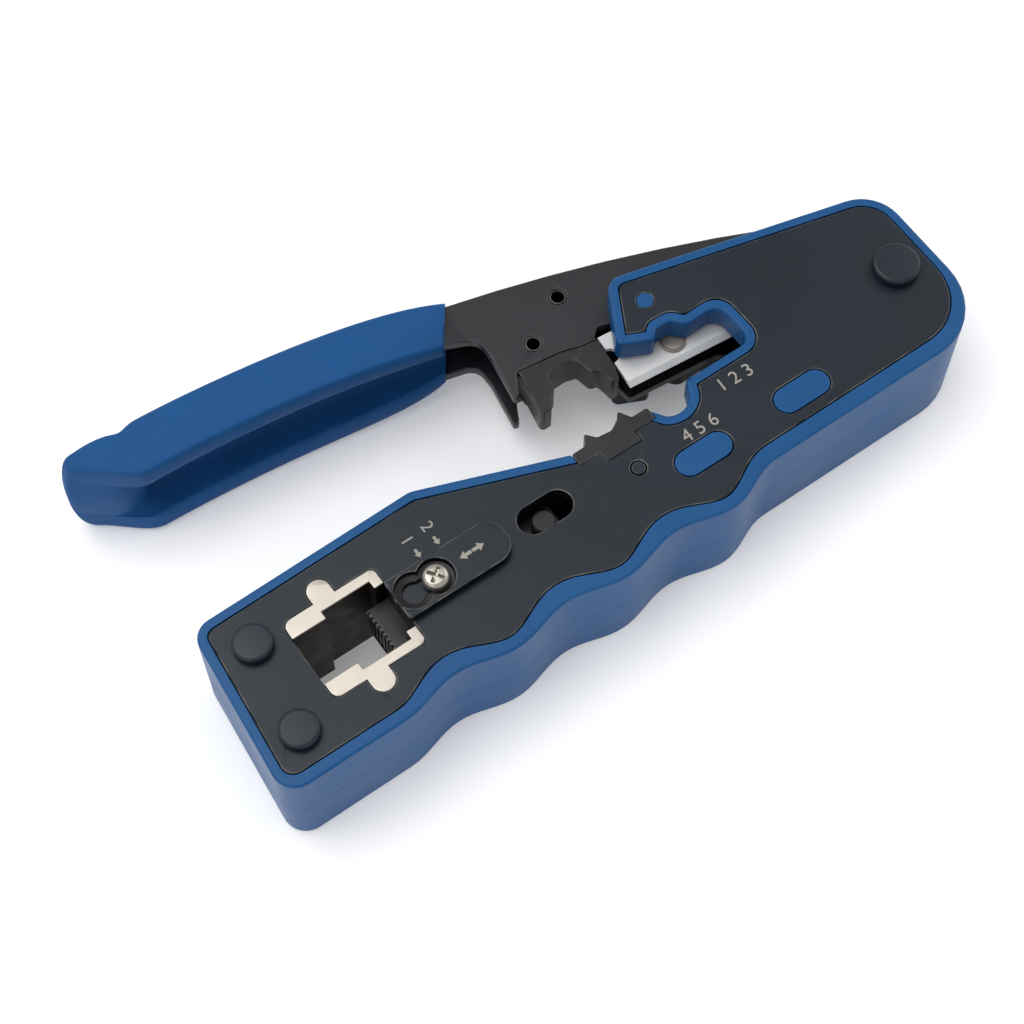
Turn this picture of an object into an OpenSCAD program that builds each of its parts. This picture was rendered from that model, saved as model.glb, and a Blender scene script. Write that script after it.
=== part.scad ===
// Modular plug crimping tool, lying flat on its back.
// Origin: where the pivot axis meets the face that the tool lies on.
// +X runs along the body towards the head, +Y towards the moving handle, +Z up.

/* [Body] */
// Thickness over both rims
body_t = 21; // [20:0.5:24]
// Distance from the pivot to the middle of the nest end
body_l = 134; // [132:1:142]
// Distance from the pivot to the head end
head_end = 7.5; // [7:0.1:9]
// Depth of the nest end below the pivot line
nest_low = 20.3; // [18.3:0.5:23.3]
// Depth of the head below the pivot line
head_low = 17.2; // [16.2:0.2:18.4]
// Height of the nest end above the pivot line
nest_top = 11.5; // [10.5:0.5:14]
// Height of the head's upper edge above the pivot
head_top = 16; // [15:0.5:18]
// Slope of the head's upper edge, in degrees
head_slope = 14; // [12:1:16]
// Pitch of the finger scallops
scallop_pitch = 21.2; // [20:0.2:22]
// Depth of the finger scallops in the outer wall
scallop_depth = 2; // [1.5:0.1:3]
// Depth of the scallops in the edge of each cover plate
plate_scallop_depth = 3.2; // [2.5:0.1:4]
// Width of the plastic rim around each cover plate
rim_w = 1.6; // [1.2:0.1:2]
// How much wider the rim is at the crests of the scallops
crest_rim = 0.5; // [0:0.1:1]
// How much wider the rim is below the head
head_rim = 1.2; // [0:0.1:1.4]
// Thickness of the shell's side wall
shell_wall = 1.6; // [1.2:0.1:2]
// Thickness of a cover plate
plate_t = 1.5; // [1:0.1:2]
// Length of the two locating windows
window_l = 11; // [8:0.5:12]
// Width of the two locating windows
window_w = 5.2; // [4:0.2:6]

/* [Rivets] */
// Shank diameter of the pivot rivet
pivot_d = 5.2; // [4:0.1:6]
// Head diameter of the pivot rivet
pivot_head_d = 8.2; // [7.5:0.1:10]
// Shank diameter of the nest rivets
nest_rivet_d = 4; // [3:0.1:4.5]
// Head diameter of the nest rivets
nest_head_d = 6.6; // [6:0.1:8]
// Height of the rivet heads
rivet_head_h = 1.8; // [1:0.1:2.5]
// Diameter of the frame pin
frame_pin_d = 2.7; // [2:0.1:3]

/* [Plug nest] */
// Drop of the nest's axis below the pivot line
nest_drop = 3.5; // [3:0.1:4]
// Width of the opening for the plug's body
plug_w = 11.9; // [11.8:0.05:12.2]
// Height of the plug's body between the shoulders and the resting ram
plug_h = 6.6; // [6.4:0.1:7]
// Width of the notch for the plug's latch
latch_w = 9.1; // [8:0.1:10]
// Depth of the notch for the plug's latch
latch_h = 6.2; // [5:0.1:7]
// Thickness of the nest's arms
arm_w = 1.75; // [1.5:0.05:2]
// Length of the nest from shoulder to hook
arm_l = 9; // [8.5:0.1:10]

/* [Ram and link] */
// Width of the ram
ram_w = 8; // [7:0.2:8.4]
// Height of the ram
ram_h = 10.6; // [9.6:0.2:10.8]
// Pitch of the plug's contacts
contact_pitch = 1.02; // [1:0.01:1.05]
// Diameter of the ram pin
ram_pin_d = 4; // [3.4:0.1:4.2]
// Distance from the pivot to the ram pin
ram_pin_x = 75.6; // [74.5:0.1:76]
// Thickness of the drive link
link_t = 4.6; // [4:0.1:5]
// Width of the drive link
link_w = 4.6; // [4:0.1:5]
// Diameter of the link pin
link_pin_d = 3.2; // [2.6:0.1:3.6]

/* [Selector] */
// Thickness of the selector plate
selector_t = 1.8; // [1.4:0.1:2.2]
// Width of the selector plate
selector_w = 7.6; // [7.4:0.1:8.2]
// Travel of the selector plate
selector_travel = 4.2; // [3.5:0.1:4.5]
// Thread diameter of the selector screw
screw_d = 2.5; // [2:0.1:2.6]
// Head diameter of the selector screw
screw_head_d = 4.5; // [4:0.1:5]

/* [Handle] */
// Outer width of the handle channel in the head
handle_w = 11; // [10:0.2:11.6]
// Thickness of the channel's sheet
sheet_t = 1.8; // [1.4:0.1:2]
// Diameter of the pivot eye
eye_d = 10.2; // [9:0.1:10.4]
// Height of the handle's outer edge above the pivot, at its tip
handle_top = 48.6; // [46:0.2:54]
// Radius of the handle's outer edge
handle_bow = 295; // [280:5:320]
// Depth of the channel inside the grip
handle_depth = 8.6; // [8:0.2:10]
// Outer width of the flared channel inside the grip
flare_w = 16.4; // [14:0.2:17]
// Thickness of the dipped grip
coat_t = 0.9; // [0.5:0.1:1.1]
// Outer diameter of the die pins
die_pin_d = 3; // [2.8:0.1:3.2]
// Bore of the die pins
die_pin_bore = 2.3; // [1.4:0.1:2.4]

/* [Dies and blade] */
// Thickness of the moving die's working edge
die_t = 6; // [5:0.2:6.6]
// Thickness of the blade
blade_t = 0.8; // [0.6:0.1:1]
// Width of the blade across its cutting edge
blade_w = 10.8; // [10.2:0.1:11]
// Head diameter of the blade rivet
blade_rivet_d = 4.6; // [4:0.1:5]

/* [Return spring] */
// Wire diameter
wire_d = 0.8; // [0.6:0.05:0.8]
// Mean diameter of the coil
coil_d = 8.2; // [8:0.1:8.6]
// Whole turns of the coil
coil_turns = 4; // [3:1:4]

/* [Clearances] */
// Gap between each side of the handle and the shells
side_gap = 0.3; // [0.2:0.05:0.5]
// Gap around a piece that is let into another
seat_gap = 0.1; // [0.05:0.05:0.2]
// Gap between each cover plate and the rim
plate_gap = 0.25; // [0.1:0.05:0.4]
// Radial gap of a pin in its bore
run_gap = 0.05; // [0.02:0.01:0.1]
// Gap on each side of the ram and of the link
slide_gap = 0.15; // [0.1:0.05:0.3]
// Radial gap of the ram pin in the link, where the linkage is opened
open_gap = 0.3; // [0.25:0.05:0.4]

/* [Hidden] */
$fn = 48;
blue = "royalblue";
gunmetal = "dimgray";
black = "black";
bright = "silver";

// Turn of one polygon step in a rounded corner, in degrees
arc_step = 10;
// Reach of cutting shapes past the faces they cut
over = 1;

// Levels, from the lower face up
mid = body_t / 2;
cheek_hi = mid + handle_w / 2;
cheek_lo = mid - handle_w / 2;
cavity_hi = cheek_hi + side_gap;
cavity_lo = cheek_lo - side_gap;
channel_hi = cheek_hi - sheet_t;
channel_lo = cheek_lo + sheet_t;

// Plan helpers: a corner is [x, y, radius], and outlines run anticlockwise
function at(p) = [p.x, p.y];
function unit(v) = v / norm(v);
function left_of(v) = [-v.y, v.x];

// Moves every side of an outline inwards by d, and keeps its fillets concentric
function inset(c, d) =
    let (n = len(c))
    [for (i = [0:n - 1])
        let (
            p = at(c[i]),
            a = unit(p - at(c[(i + n - 1) % n])),
            b = unit(at(c[(i + 1) % n]) - p),
            m = (left_of(a) + left_of(b)) / (1 + a * b),
            r = c[i][2]
        )
        [p.x + d * m.x, p.y + d * m.y, r == 0 ? 0 : max(0.2, r - d * sign(cross(a, b)))]];

// Arc that rounds corner p between its neighbours a and b, limited by the length of its sides
function fillet(p, a, b, r) =
    let (
        u = unit(a - p),
        v = unit(b - p),
        half = acos(max(-1, min(1, u * v))) / 2,
        reach = min(r / tan(half), 0.49 * norm(a - p), 0.49 * norm(b - p)),
        rr = reach * tan(half),
        c = p + unit(u + v) * rr / sin(half),
        s = p + u * reach - c,
        e = p + v * reach - c,
        start = atan2(s.y, s.x),
        sweep = atan2(cross(s, e), s * e),
        n = max(2, ceil(abs(sweep) / arc_step))
    )
    [for (k = [0:n]) c + rr * [cos(start + sweep * k / n), sin(start + sweep * k / n)]];

function rounded(c) =
    let (n = len(c))
    [for (i = [0:n - 1])
        each (c[i][2] == 0 ? [at(c[i])]
            : fillet(at(c[i]), at(c[(i + n - 1) % n]), at(c[(i + 1) % n]), c[i][2]))];

module plan(c, lo, hi) { translate([0, 0, lo]) linear_extrude(hi - lo) polygon(rounded(c)); }

module slab(lo, hi) { translate([0, 0, lo]) linear_extrude(hi - lo) children(); }

module pin_at(p, r, lo, hi) { translate([p.x, p.y, lo]) cylinder(r = r, h = hi - lo); }

module obround(l, w) {
    square([l - w, w], center = true);
    for (s = [-1, 1]) translate([s * (l - w) / 2, 0]) circle(d = w);
}

// Body outline
// First crest of the finger scallops, their number and the points on each
scallop_x = -113.4;
scallops = 3.5;
scallop_steps = 16;
last_crest = scallop_x + floor(scallops) * scallop_pitch;
// Front edge between its crests and valleys. From the last crest it rises to the head's edge.
function scallop_y(x, crest, valley, head) =
    let (high = x > last_crest ? head : valley)
    -crest + (crest - high) / 2 * (1 - cos(360 * (x - scallop_x) / scallop_pitch));
function head_edge(x) = head_top - tan(head_slope) * x;
// Left corner of the head's upper edge
head_tip_x = -41.4;
// Bend of the upper edge between the jaw and the nest
bend_x = -91.2;
bend_rise = 0.6;
// Difference of the two nest corners from the middle of the nest end
nest_end_lean = 1.3;
// Floor of the cut slot, and the strip notch beside it
cut_floor = 3;
cut_right = -28.7;
strip_c = [-46.7, 2.6];
strip_r = 3.9;
strip_arc = [-35, -125];
strip_points = 9;
// Corners of the jaw side from the head's tip to the fixed die
lip = [
    [-47.6, 14.9, 1.2], [-41.9, 12.2, 1], [-40.2, 13.7, 1.5], [-37.5, 13.6, 1.5], [-35.6, 11.4, 2],
    [cut_right - 0.3, 11.6, 2.4], [cut_right, cut_floor, 2], [-42.3, cut_floor, 0.8]
];
die_edge = [[-50.6, 1.8, 0], [-65.8, 2.5, 0]];

// Outline of the body for given depths of the crests, the valleys and the head below the pivot line
function outline(crest, valley, head) = concat(
    [[-body_l - nest_end_lean, -crest, 4]],
    [for (k = [0:scallops * scallop_steps])
        let (x = scallop_x + k * scallop_pitch / scallop_steps)
        [x, scallop_y(x, crest, valley, head), 0]],
    [
        [head_end, -head, 12], [head_end, head_edge(head_end), 7.5],
        [head_tip_x, head_edge(head_tip_x), 3.2]
    ],
    lip,
    [for (k = [0:strip_points])
        let (a = strip_arc[0] + k * (strip_arc[1] - strip_arc[0]) / strip_points)
        [strip_c.x + strip_r * cos(a), strip_c.y + strip_r * sin(a), 0]],
    die_edge,
    [[bend_x, nest_top + bend_rise, 4], [-body_l + nest_end_lean, nest_top, 3.5]]
);
body_outline = outline(nest_low, nest_low - scallop_depth, head_low);
// The plates' edge waves more than the outer wall, so the rim is widest in the valleys and below the head
plate_crest = nest_low - crest_rim;
plate_low = head_low - head_rim;
plate_frame = outline(plate_crest, plate_crest - plate_scallop_depth, plate_low);
recess_outline = inset(plate_frame, rim_w);
plate_outline = inset(plate_frame, rim_w + plate_gap);

// Nest, rivets and other places along the body
axis_y = -nest_drop;
// Nest shoulder, from the nest end
shoulder_in = 19.8;
nest_x = -body_l + shoulder_in;
nest_left = nest_x - latch_h;
nest_right = nest_x + arm_l + arm_w;
nest_back_t = 2.6;
nest_back = nest_left - nest_back_t;
arm_out = plug_w / 2 + arm_w;
hook_gap = ram_w + 1;
lobe_r = 2;
lobe_x = nest_x + 1.6;
lobe_y = arm_out + 1.5;
nest_rivets_at = [[-body_l + 8, 3.6], [-body_l + 6.3, -12.5]];
// Locating windows and dot of the cover plates
window_y = -plate_low + 6.3;
windows = [[-27.9, window_y], [-48.2, window_y]];
dot_at = [-38.6, 19.2];
dot_d = 3;
// Slot in which the ram pin travels
slot_l = 10;
slot_play = 1.2;
slot_w = ram_pin_d + slot_play;
ram_pin_at = [-ram_pin_x, axis_y];
slot_at = [-ram_pin_x + 0.2, axis_y];
// Inner face of the lower wall
cavity_low = -plate_low + shell_wall;
cavity_left = -99;
// Wall along the upper edge, measured upright
top_wall = shell_wall + 0.2;
// End of the closed wall on the head's upper edge
wall_end_x = -4;
// Reach of the open side of the cavity, past the outline
open_y = 45;
cavity_corners = [
    [cavity_left, cavity_low, 1], [head_end - shell_wall, cavity_low, 10],
    [head_end - shell_wall, head_edge(head_end) - shell_wall, 5.9],
    [wall_end_x, head_edge(wall_end_x) - shell_wall, 0], [wall_end_x, open_y, 0],
    [die_edge[1].x, open_y, 0], [die_edge[1].x, die_edge[1].y - top_wall, 0],
    [bend_x, nest_top + bend_rise - top_wall, 2.4], [cavity_left, nest_top - top_wall, 1]
];

// Drive link: pin in the handle, two bends, and the eye on the ram pin
link_pin_at = [-16, 10];
link_wall_gap = 1.5;
link_bend_y = cavity_low + link_w / 2 + link_wall_gap;
link_path = [
    link_pin_at, [-18.5, link_bend_y + 4.1], [-56, link_bend_y], [-66.5, link_bend_y + 1], ram_pin_at
];
link_eye_wall = 1.3;
// The frame pin stands just above the link
frame_pin_gap = 1.25;
frame_pin_at = [-58.4, link_bend_y + link_w / 2 + frame_pin_d / 2 + frame_pin_gap];

// Shells and cover plates
module nest_cut(back, back_r, gap) {
    out = arm_out + gap;
    translate([0, axis_y]) polygon(rounded([
        [back - gap, -out, back_r], [nest_right + gap, -out, nest_tip_r],
        [nest_right + gap, out, nest_tip_r], [back - gap, out, back_r]
    ]));
    for (s = [-1, 1]) {
        translate([lobe_x, axis_y + s * lobe_y]) circle(r = lobe_r + gap);
        translate([lobe_x - lobe_r - gap, axis_y + s * (lobe_y / 2) - lobe_y / 2])
            square([2 * (lobe_r + gap), lobe_y]);
    }
}

module window_shapes(gap) {
    for (w = windows) translate(w) obround(window_l - 2 * gap, window_w - 2 * gap);
    translate(dot_at) circle(d = dot_d - 2 * min(gap, seat_gap));
}

module pin_slot() { translate(slot_at) obround(slot_l, slot_w); }

// One half casing, drawn with its seam on the middle plane and its rim at the top
module half_shell() {
    floor_z = body_t - plate_t;
    ram_gap_w = ram_w + 2 * slide_gap;
    difference() {
        plan(body_outline, mid, body_t);
        slab(floor_z, body_t + over) difference() {
            polygon(rounded(recess_outline));
            window_shapes(plate_gap);
        }
        plan(cavity_corners, mid - over, cavity_hi);
        slab(mid - over, cavity_hi) translate([nest_right - over, axis_y - ram_gap_w / 2])
            square([cavity_left - nest_right + 2 * over, ram_gap_w]);
        slab(mid - over, body_t + over) nest_cut(nest_back, 0, seat_gap);
        slab(mid - over, body_t + over) die_cut();
        slab(mid - over, body_t + over) pin_slot();
        pin_at([0, 0], pivot_d / 2 + run_gap, mid - over, body_t + over);
        pin_at(frame_pin_at, frame_pin_d / 2 + run_gap, mid - over, body_t + over);
        for (p = nest_rivets_at) pin_at(p, nest_rivet_d / 2 + run_gap, mid - over, body_t + over);
    }
}

module upper_shell() {
    color(blue) difference() {
        half_shell();
        pin_at(screw_at, screw_d / 2 + run_gap, mid, body_t);
    }
}

// The lower half also carries the post that the return spring bears on
module lower_shell() {
    color(blue) {
        translate([0, 0, body_t]) mirror([0, 0, 1]) half_shell();
        pin_at(spring_post_at, spring_post_d / 2, cavity_lo - over, spring_lo + wire_d);
    }
}

module cover_plate() {
    linear_extrude(plate_t) difference() {
        polygon(rounded(plate_outline));
        nest_cut(nest_left, nest_edge_r, seat_gap);
        window_shapes(0);
        die_cut();
        pin_slot();
        circle(r = pivot_d / 2 + run_gap);
        translate(frame_pin_at) circle(r = frame_pin_d / 2 + run_gap);
        for (p = nest_rivets_at) translate(p) circle(r = nest_rivet_d / 2 + run_gap);
    }
}

module upper_cover_plate() {
    color(gunmetal) difference() {
        translate([0, 0, body_t - plate_t]) cover_plate();
        pin_at(screw_at, screw_d / 2 + run_gap, body_t - plate_t - over, body_t + over);
    }
}

module lower_cover_plate() {
    color(gunmetal) difference() {
        cover_plate();
        pin_at([0, 0], pivot_d / 2 + foot_rim + run_gap, -over, foot_t);
        for (p = nest_rivets_at) pin_at(p, nest_rivet_d / 2 + foot_rim + run_gap, -over, foot_t);
    }
}

// Rivets: a raised flat head above, and a foot set flush in the lower plate
foot_rim = 1;
foot_t = plate_t - 0.3;
head_edge_r = 0.6;
module rivet(d, head_d) {
    r = d / 2;
    top = body_t + rivet_head_h;
    rotate_extrude() polygon(concat(
        [[0, 0], [r + foot_rim, 0], [r + foot_rim, foot_t], [r, foot_t], [r, body_t], [head_d / 2, body_t]],
        [for (a = [0:30:90])
            [head_d / 2 - head_edge_r * (1 - cos(a)), top - head_edge_r * (1 - sin(a))]],
        [[0, top]]
    ));
}

module pivot_rivet() { color(black) rivet(pivot_d, pivot_head_d); }

module nest_rivets() {
    color(black) for (p = nest_rivets_at) translate(p) rivet(nest_rivet_d, nest_head_d);
}

module frame_pin() { color(gunmetal) pin_at(frame_pin_at, frame_pin_d / 2, 0, body_t); }

// Plug nest: two hooked arms joined by a back wall between the cover plates
nest_edge_r = 1.4;
nest_tip_r = 1;
arm_corners = [
    [nest_left, latch_w / 2, 0], [nest_x, latch_w / 2, 0], [nest_x, plug_w / 2, 0],
    [nest_x + arm_l, plug_w / 2, 0], [nest_x + arm_l, hook_gap / 2, 0], [nest_right, hook_gap / 2, 0],
    [nest_right, arm_out, nest_tip_r], [nest_left, arm_out, nest_edge_r]
];
module plug_nest() {
    color(bright) translate([0, axis_y, 0]) {
        for (s = [0, 1]) mirror([0, s, 0]) {
            plan(arm_corners, 0, body_t);
            slab(0, body_t) translate([lobe_x, lobe_y]) circle(r = lobe_r);
            slab(0, body_t) translate([lobe_x - lobe_r, arm_out - arm_w / 2])
                square([2 * lobe_r, lobe_y - arm_out + arm_w / 2]);
            slab(plate_t, body_t - plate_t) translate([nest_back, 0]) {
                translate([0, -over]) square([nest_left - nest_back, arm_out + over]);
                translate([0, latch_w / 2]) square([nest_left - nest_back + over, arm_out - latch_w / 2]);
            }
        }
    }
}

// Fixed die: a bar with two spikes and an arch, on a stem let into the body's edge
die_bar = [-65.9, -50.6];
die_bar_y = [0.1, 2.5];
die_stem = [-61.9, -54.9];
die_stem_y = -1.9;
die_arch = [
    [die_bar[1], die_bar_y[1], 0.5], [-53.7, die_bar_y[1], 0.4], [-55, 4.7, 0.3], [-56, 3.5, 0.6],
    [-57.9, 2.4, 1], [-60.6, 2.7, 1], [-62, 4.5, 0.3], [-63.1, die_bar_y[1], 0.6],
    [die_bar[0], die_bar_y[1], 0.5]
];
module fixed_die() {
    color(gunmetal) {
        plan(concat([[die_bar[0], die_bar_y[0], 0], [die_bar[1], die_bar_y[0], 0]], die_arch), 0, body_t);
        slab(0, body_t) translate([die_stem[0], die_stem_y])
            square([die_stem[1] - die_stem[0], die_bar_y[0] + 1 - die_stem_y]);
    }
}

// Seat of the fixed die, open towards the jaw
module die_cut() {
    translate([die_bar[0] - seat_gap, die_bar_y[0] - seat_gap])
        square([die_bar[1] - die_bar[0] + 2 * seat_gap, die_bar_y[1] - die_bar_y[0] + 2 * over]);
    translate([die_stem[0] - seat_gap, die_stem_y - seat_gap])
        square([die_stem[1] - die_stem[0] + 2 * seat_gap, die_bar_y[1] - die_stem_y]);
}

// Pivot bush and the torsion spring wound round it
bush_wall = 0.6;
module pivot_bush() {
    color(bright) difference() {
        pin_at([0, 0], pivot_d / 2 + run_gap + bush_wall, channel_lo + run_gap, channel_hi - run_gap);
        pin_at([0, 0], pivot_d / 2 + run_gap, channel_lo, channel_hi);
    }
}

spring_post_at = [-8.5, -10.5];
spring_post_d = 3;
spring_touch = 0.1;
// The two legs pass just below and just above the link
leg_gap = 0.2;
spring_lo = mid - link_t / 2 - leg_gap - wire_d / 2;
spring_hi = mid + link_t / 2 + leg_gap + wire_d / 2;
wire_sides = 6;
rings_per_turn = 16;
long_leg = 20;
short_leg = 15;
// The tangent from the coil that clears a pin of diameter d at p, on the pin's inner side
function leg_angle(p, d, side) =
    atan2(p.y, p.x) + side * acos((coil_d / 2 + wire_d / 2 + d / 2 + spring_touch) / norm(p));
leg_from = leg_angle(spring_post_at, spring_post_d, 1);
leg_to = leg_angle(link_pin_at, link_pin_d, -1);
coil_sweep = 360 * coil_turns + leg_to - leg_from;
coil_rings = ceil(coil_sweep / 360 * rings_per_turn);
function coil_point(k) =
    let (a = leg_from + coil_sweep * k / coil_rings)
    [coil_d / 2 * cos(a), coil_d / 2 * sin(a), spring_lo + (spring_hi - spring_lo) * k / coil_rings];
spring_path = concat(
    [coil_point(0) + short_leg * [sin(leg_from), -cos(leg_from), 0]],
    [for (k = [0:coil_rings]) coil_point(k)],
    [coil_point(coil_rings) + long_leg * [-sin(leg_to), cos(leg_to), 0]]
);
echo(spring_gap = (spring_hi - spring_lo) * 360 / coil_sweep - wire_d);

// Round wire swept along a path that is never upright
module wire(path, d) {
    n = len(path);
    m = wire_sides;
    points = [for (i = [0:n - 1])
        let (
            t = unit(path[min(i + 1, n - 1)] - path[max(i - 1, 0)]),
            side = unit(cross(t, [0, 0, 1])),
            up = cross(side, t)
        )
        for (j = [0:m - 1]) path[i] + d / 2 * (cos(360 * j / m) * side + sin(360 * j / m) * up)];
    walls = [for (i = [0:n - 2], j = [0:m - 1])
        let (a = i * m + j, b = i * m + (j + 1) % m)
        each [[a, b, b + m], [a, b + m, a + m]]];
    ends = [for (j = [1:m - 2]) each [[0, j + 1, j], [(n - 1) * m, (n - 1) * m + j, (n - 1) * m + j + 1]]];
    polyhedron(points, concat(walls, ends));
}

module return_spring() { color(bright) wire(spring_path, wire_d); }

// Ram: a guided block with the plug's tools on its nose and a fork on its tail
ram_lo = mid - ram_h / 2;
ram_hi = mid + ram_h / 2;
nose_x = nest_x + plug_h;
comb_l = 2.8;
block_x = nose_x + comb_l;
trim_l = 10;
fork_from = -88;
fork_end = -ram_pin_x + 2.8;
fork_w = 6;
fork_depth = 8.4;
module ram() {
    color(gunmetal) difference() {
        union() {
            translate([block_x, axis_y - ram_w / 2, ram_lo]) cube([fork_from - block_x, ram_w, ram_h]);
            translate([fork_from - over, axis_y - fork_w / 2, ram_lo])
                cube([fork_end - fork_from + over, fork_w, ram_h]);
        }
        translate([block_x - over, axis_y - ram_w / 2 - over, ram_hi - blade_t])
            cube([trim_l - comb_l + over, ram_w + 2 * over, blade_t + over]);
        translate([fork_end - fork_depth, axis_y - fork_w, mid - link_t / 2 - slide_gap])
            cube([fork_depth + over, 2 * fork_w, link_t + 2 * slide_gap]);
        pin_at(ram_pin_at, ram_pin_d / 2 + run_gap, ram_lo - over, ram_hi + over);
    }
}

contacts = 8;
// Trim blade: a flat cutter with one tooth for each wire
tooth_depth = 0.8;
module trim_blade() {
    tooth_w = min(contact_pitch, ram_w / contacts - 0.02);
    color(gunmetal) slab(ram_hi - blade_t, ram_hi) translate([0, axis_y]) polygon(concat(
        [[nose_x + trim_l, -ram_w / 2], [nose_x + trim_l, ram_w / 2], [nose_x + tooth_depth, ram_w / 2]],
        [for (k = [0:2 * contacts])
            [nose_x + (k % 2) * tooth_depth, (contacts - k) * tooth_w / 2]],
        [[nose_x + tooth_depth, -ram_w / 2]]
    ));
}

// Contact comb: one thin tongue for each contact, on a common back
comb_tongue = 0.5;
comb_back = 1.4;
comb_setback = 0.3;
comb_lo = mid - 1.2;
module contact_comb() {
    color(gunmetal) slab(comb_lo, ram_hi - blade_t) translate([0, axis_y]) {
        translate([block_x - comb_back, -ram_w / 2]) square([comb_back, ram_w]);
        for (k = [0:contacts - 1])
            translate([nose_x + comb_setback, (k - (contacts - 1) / 2) * contact_pitch - comb_tongue / 2])
                square([comb_l - comb_setback, comb_tongue]);
    }
}

// Strain presser: a wedge-nosed bar under the comb
presser_w = 6;
module strain_presser() {
    side = [
        [block_x, ram_lo], [block_x, comb_lo], [nose_x + 1, comb_lo], [nose_x + 0.2, comb_lo - 0.8],
        [nose_x + 1.6, ram_lo]
    ];
    color(gunmetal) translate([0, axis_y + presser_w / 2, 0]) rotate([90, 0, 0])
        linear_extrude(presser_w) polygon(side);
}

// Ram pin: through the fork and the link, with both ends in the slots of the shells
pin_end = 3;
module ram_pin() { color(gunmetal) pin_at(ram_pin_at, ram_pin_d / 2, pin_end, body_t - pin_end); }

module link_leg(a, b) {
    d = b - a;
    translate(a) rotate(atan2(d.y, d.x)) translate([0, -link_w / 2]) square([norm(d), link_w]);
}

module drive_link() {
    last = len(link_path) - 1;
    color(gunmetal) difference() {
        slab(mid - link_t / 2, mid + link_t / 2) {
            for (i = [0:last - 1]) link_leg(link_path[i], link_path[i + 1]);
            for (i = [1:last - 1]) translate(link_path[i]) circle(d = link_w);
            translate(link_pin_at) circle(r = link_pin_d / 2 + link_eye_wall);
            translate(ram_pin_at) circle(r = ram_pin_d / 2 + open_gap + link_eye_wall);
        }
        pin_at(link_pin_at, link_pin_d / 2 + run_gap, 0, body_t);
        pin_at(ram_pin_at, ram_pin_d / 2 + open_gap, 0, body_t);
    }
}

module link_pin() { color(gunmetal) pin_at(link_pin_at, link_pin_d / 2, cheek_lo, cheek_hi); }

// Selector: a plate on the upper cover, clamped by a screw in a slot with two round seats
screw_at = [nest_x + 17.7, axis_y];
selector_left = nest_x + 10.3;
selector_right = nest_x + 31.2;
// The two seats run into each other far enough for the screw's head to pass
seat_d = 2 * norm([screw_head_d / 2 + slide_gap, selector_travel / 2]);
ledge = 0.6;
// Wider hole under the far seat
key_d = screw_d + 1.2;
selector_z = body_t + run_gap;
module selector_plate() {
    half = selector_w / 2;
    color(gunmetal) difference() {
        translate([0, axis_y, 0]) plan([
            [selector_left, -half, 0.6], [selector_right, -half, 3.5], [selector_right, half, 3.5],
            [selector_left, half, 0.6]
        ], selector_z, selector_z + selector_t);
        for (s = [0, 1]) pin_at(screw_at - [s * selector_travel, 0], seat_d / 2,
            selector_z + ledge, selector_z + selector_t + over);
        slab(body_t, selector_z + selector_t) translate(screw_at - [selector_travel / 2, 0])
            obround(selector_travel + screw_d + 2 * slide_gap, screw_d + 2 * slide_gap);
        pin_at(screw_at - [selector_travel, 0], key_d / 2, body_t, body_t + selector_t);
    }
}

// Selector screw: a pan head with a cross recess
screw_head_h = 1.6;
screw_bite = 3;
screw_edge_r = 0.9;
cross_w = 0.7;
cross_l = 2.6;
module selector_screw() {
    base = selector_z + ledge + run_gap;
    top = base + screw_head_h;
    color(bright) difference() {
        translate([screw_at.x, screw_at.y, 0]) rotate_extrude() polygon(concat(
            [[0, body_t - plate_t - screw_bite], [screw_d / 2, body_t - plate_t - screw_bite],
                [screw_d / 2, base], [screw_head_d / 2, base]],
            [for (a = [0:30:90])
                [screw_head_d / 2 - screw_edge_r * (1 - cos(a)), top - screw_edge_r * (1 - sin(a))]],
            [[0, top]]
        ));
        for (a = [35, 125]) translate([screw_at.x, screw_at.y, top]) rotate(a)
            cube([cross_l, cross_w, screw_head_h], center = true);
    }
}

// Handle channel: two cheeks and a spine, flared inside the grip
// The outer edge is an arc whose highest point is at the tip
handle_end = -134.7;
function spine_y(x) = handle_top - handle_bow + sqrt(handle_bow ^ 2 - (x - handle_end) ^ 2);
spine_root = -9.5;
tang_x = -121;
spine_steps = 12;
spine = concat(
    [[spine_root, spine_y(spine_root), 5]],
    [for (k = [1:spine_steps])
        let (x = spine_root + (tang_x - spine_root) * k / spine_steps)
        [x, spine_y(x), 0]]
);
tang_end = [[-128, spine_y(-128) - 0.6, 2], [-123.5, spine_y(-123.5) - handle_depth + 1.8, 4]];
// The cheek is a little shallower where it comes out of the grip
mouth_x = -70.2;
mouth_rise = 1;
cheek_deep_x = -101;
cheek_grip_edge = [
    [cheek_deep_x, spine_y(cheek_deep_x) - handle_depth, 60],
    [mouth_x, spine_y(mouth_x) - handle_depth + mouth_rise, 10]
];
cheek_prong = [
    [-64.4, 31.8, 3], [-64.4, 27.8, 6], [-65.9, 18.6, 0.6], [-64.8, 18.6, 0.5], [-63, 21.9, 0.4]
];
die_line = [[-62.4, 22.6, 0], [-54.4, 21.6, 0], [-51, 20.6, 0], [-47.7, 20.1, 0]];
upper_cheek_edge = [
    [-47.8, 20.7, 0.2], [-46.2, 22, 1], [-44.2, 21.3, 0.8], [-26, 19.4, 1.5], [-24, 8, 5]
];
lower_cheek_edge = [[-46.6, 11.6, 0.8], [-29.4, 10, 2], [-23, 5, 6]];
eye_sides = [[-3.2, -3.8, 0], [4.2, 2.8, 0]];
function cheek(edge) = concat(eye_sides, spine, tang_end, cheek_grip_edge, cheek_prong, die_line, edge);

// Reach of the cutting shapes, past the handle's tip
tip_reach = 150;
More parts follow.
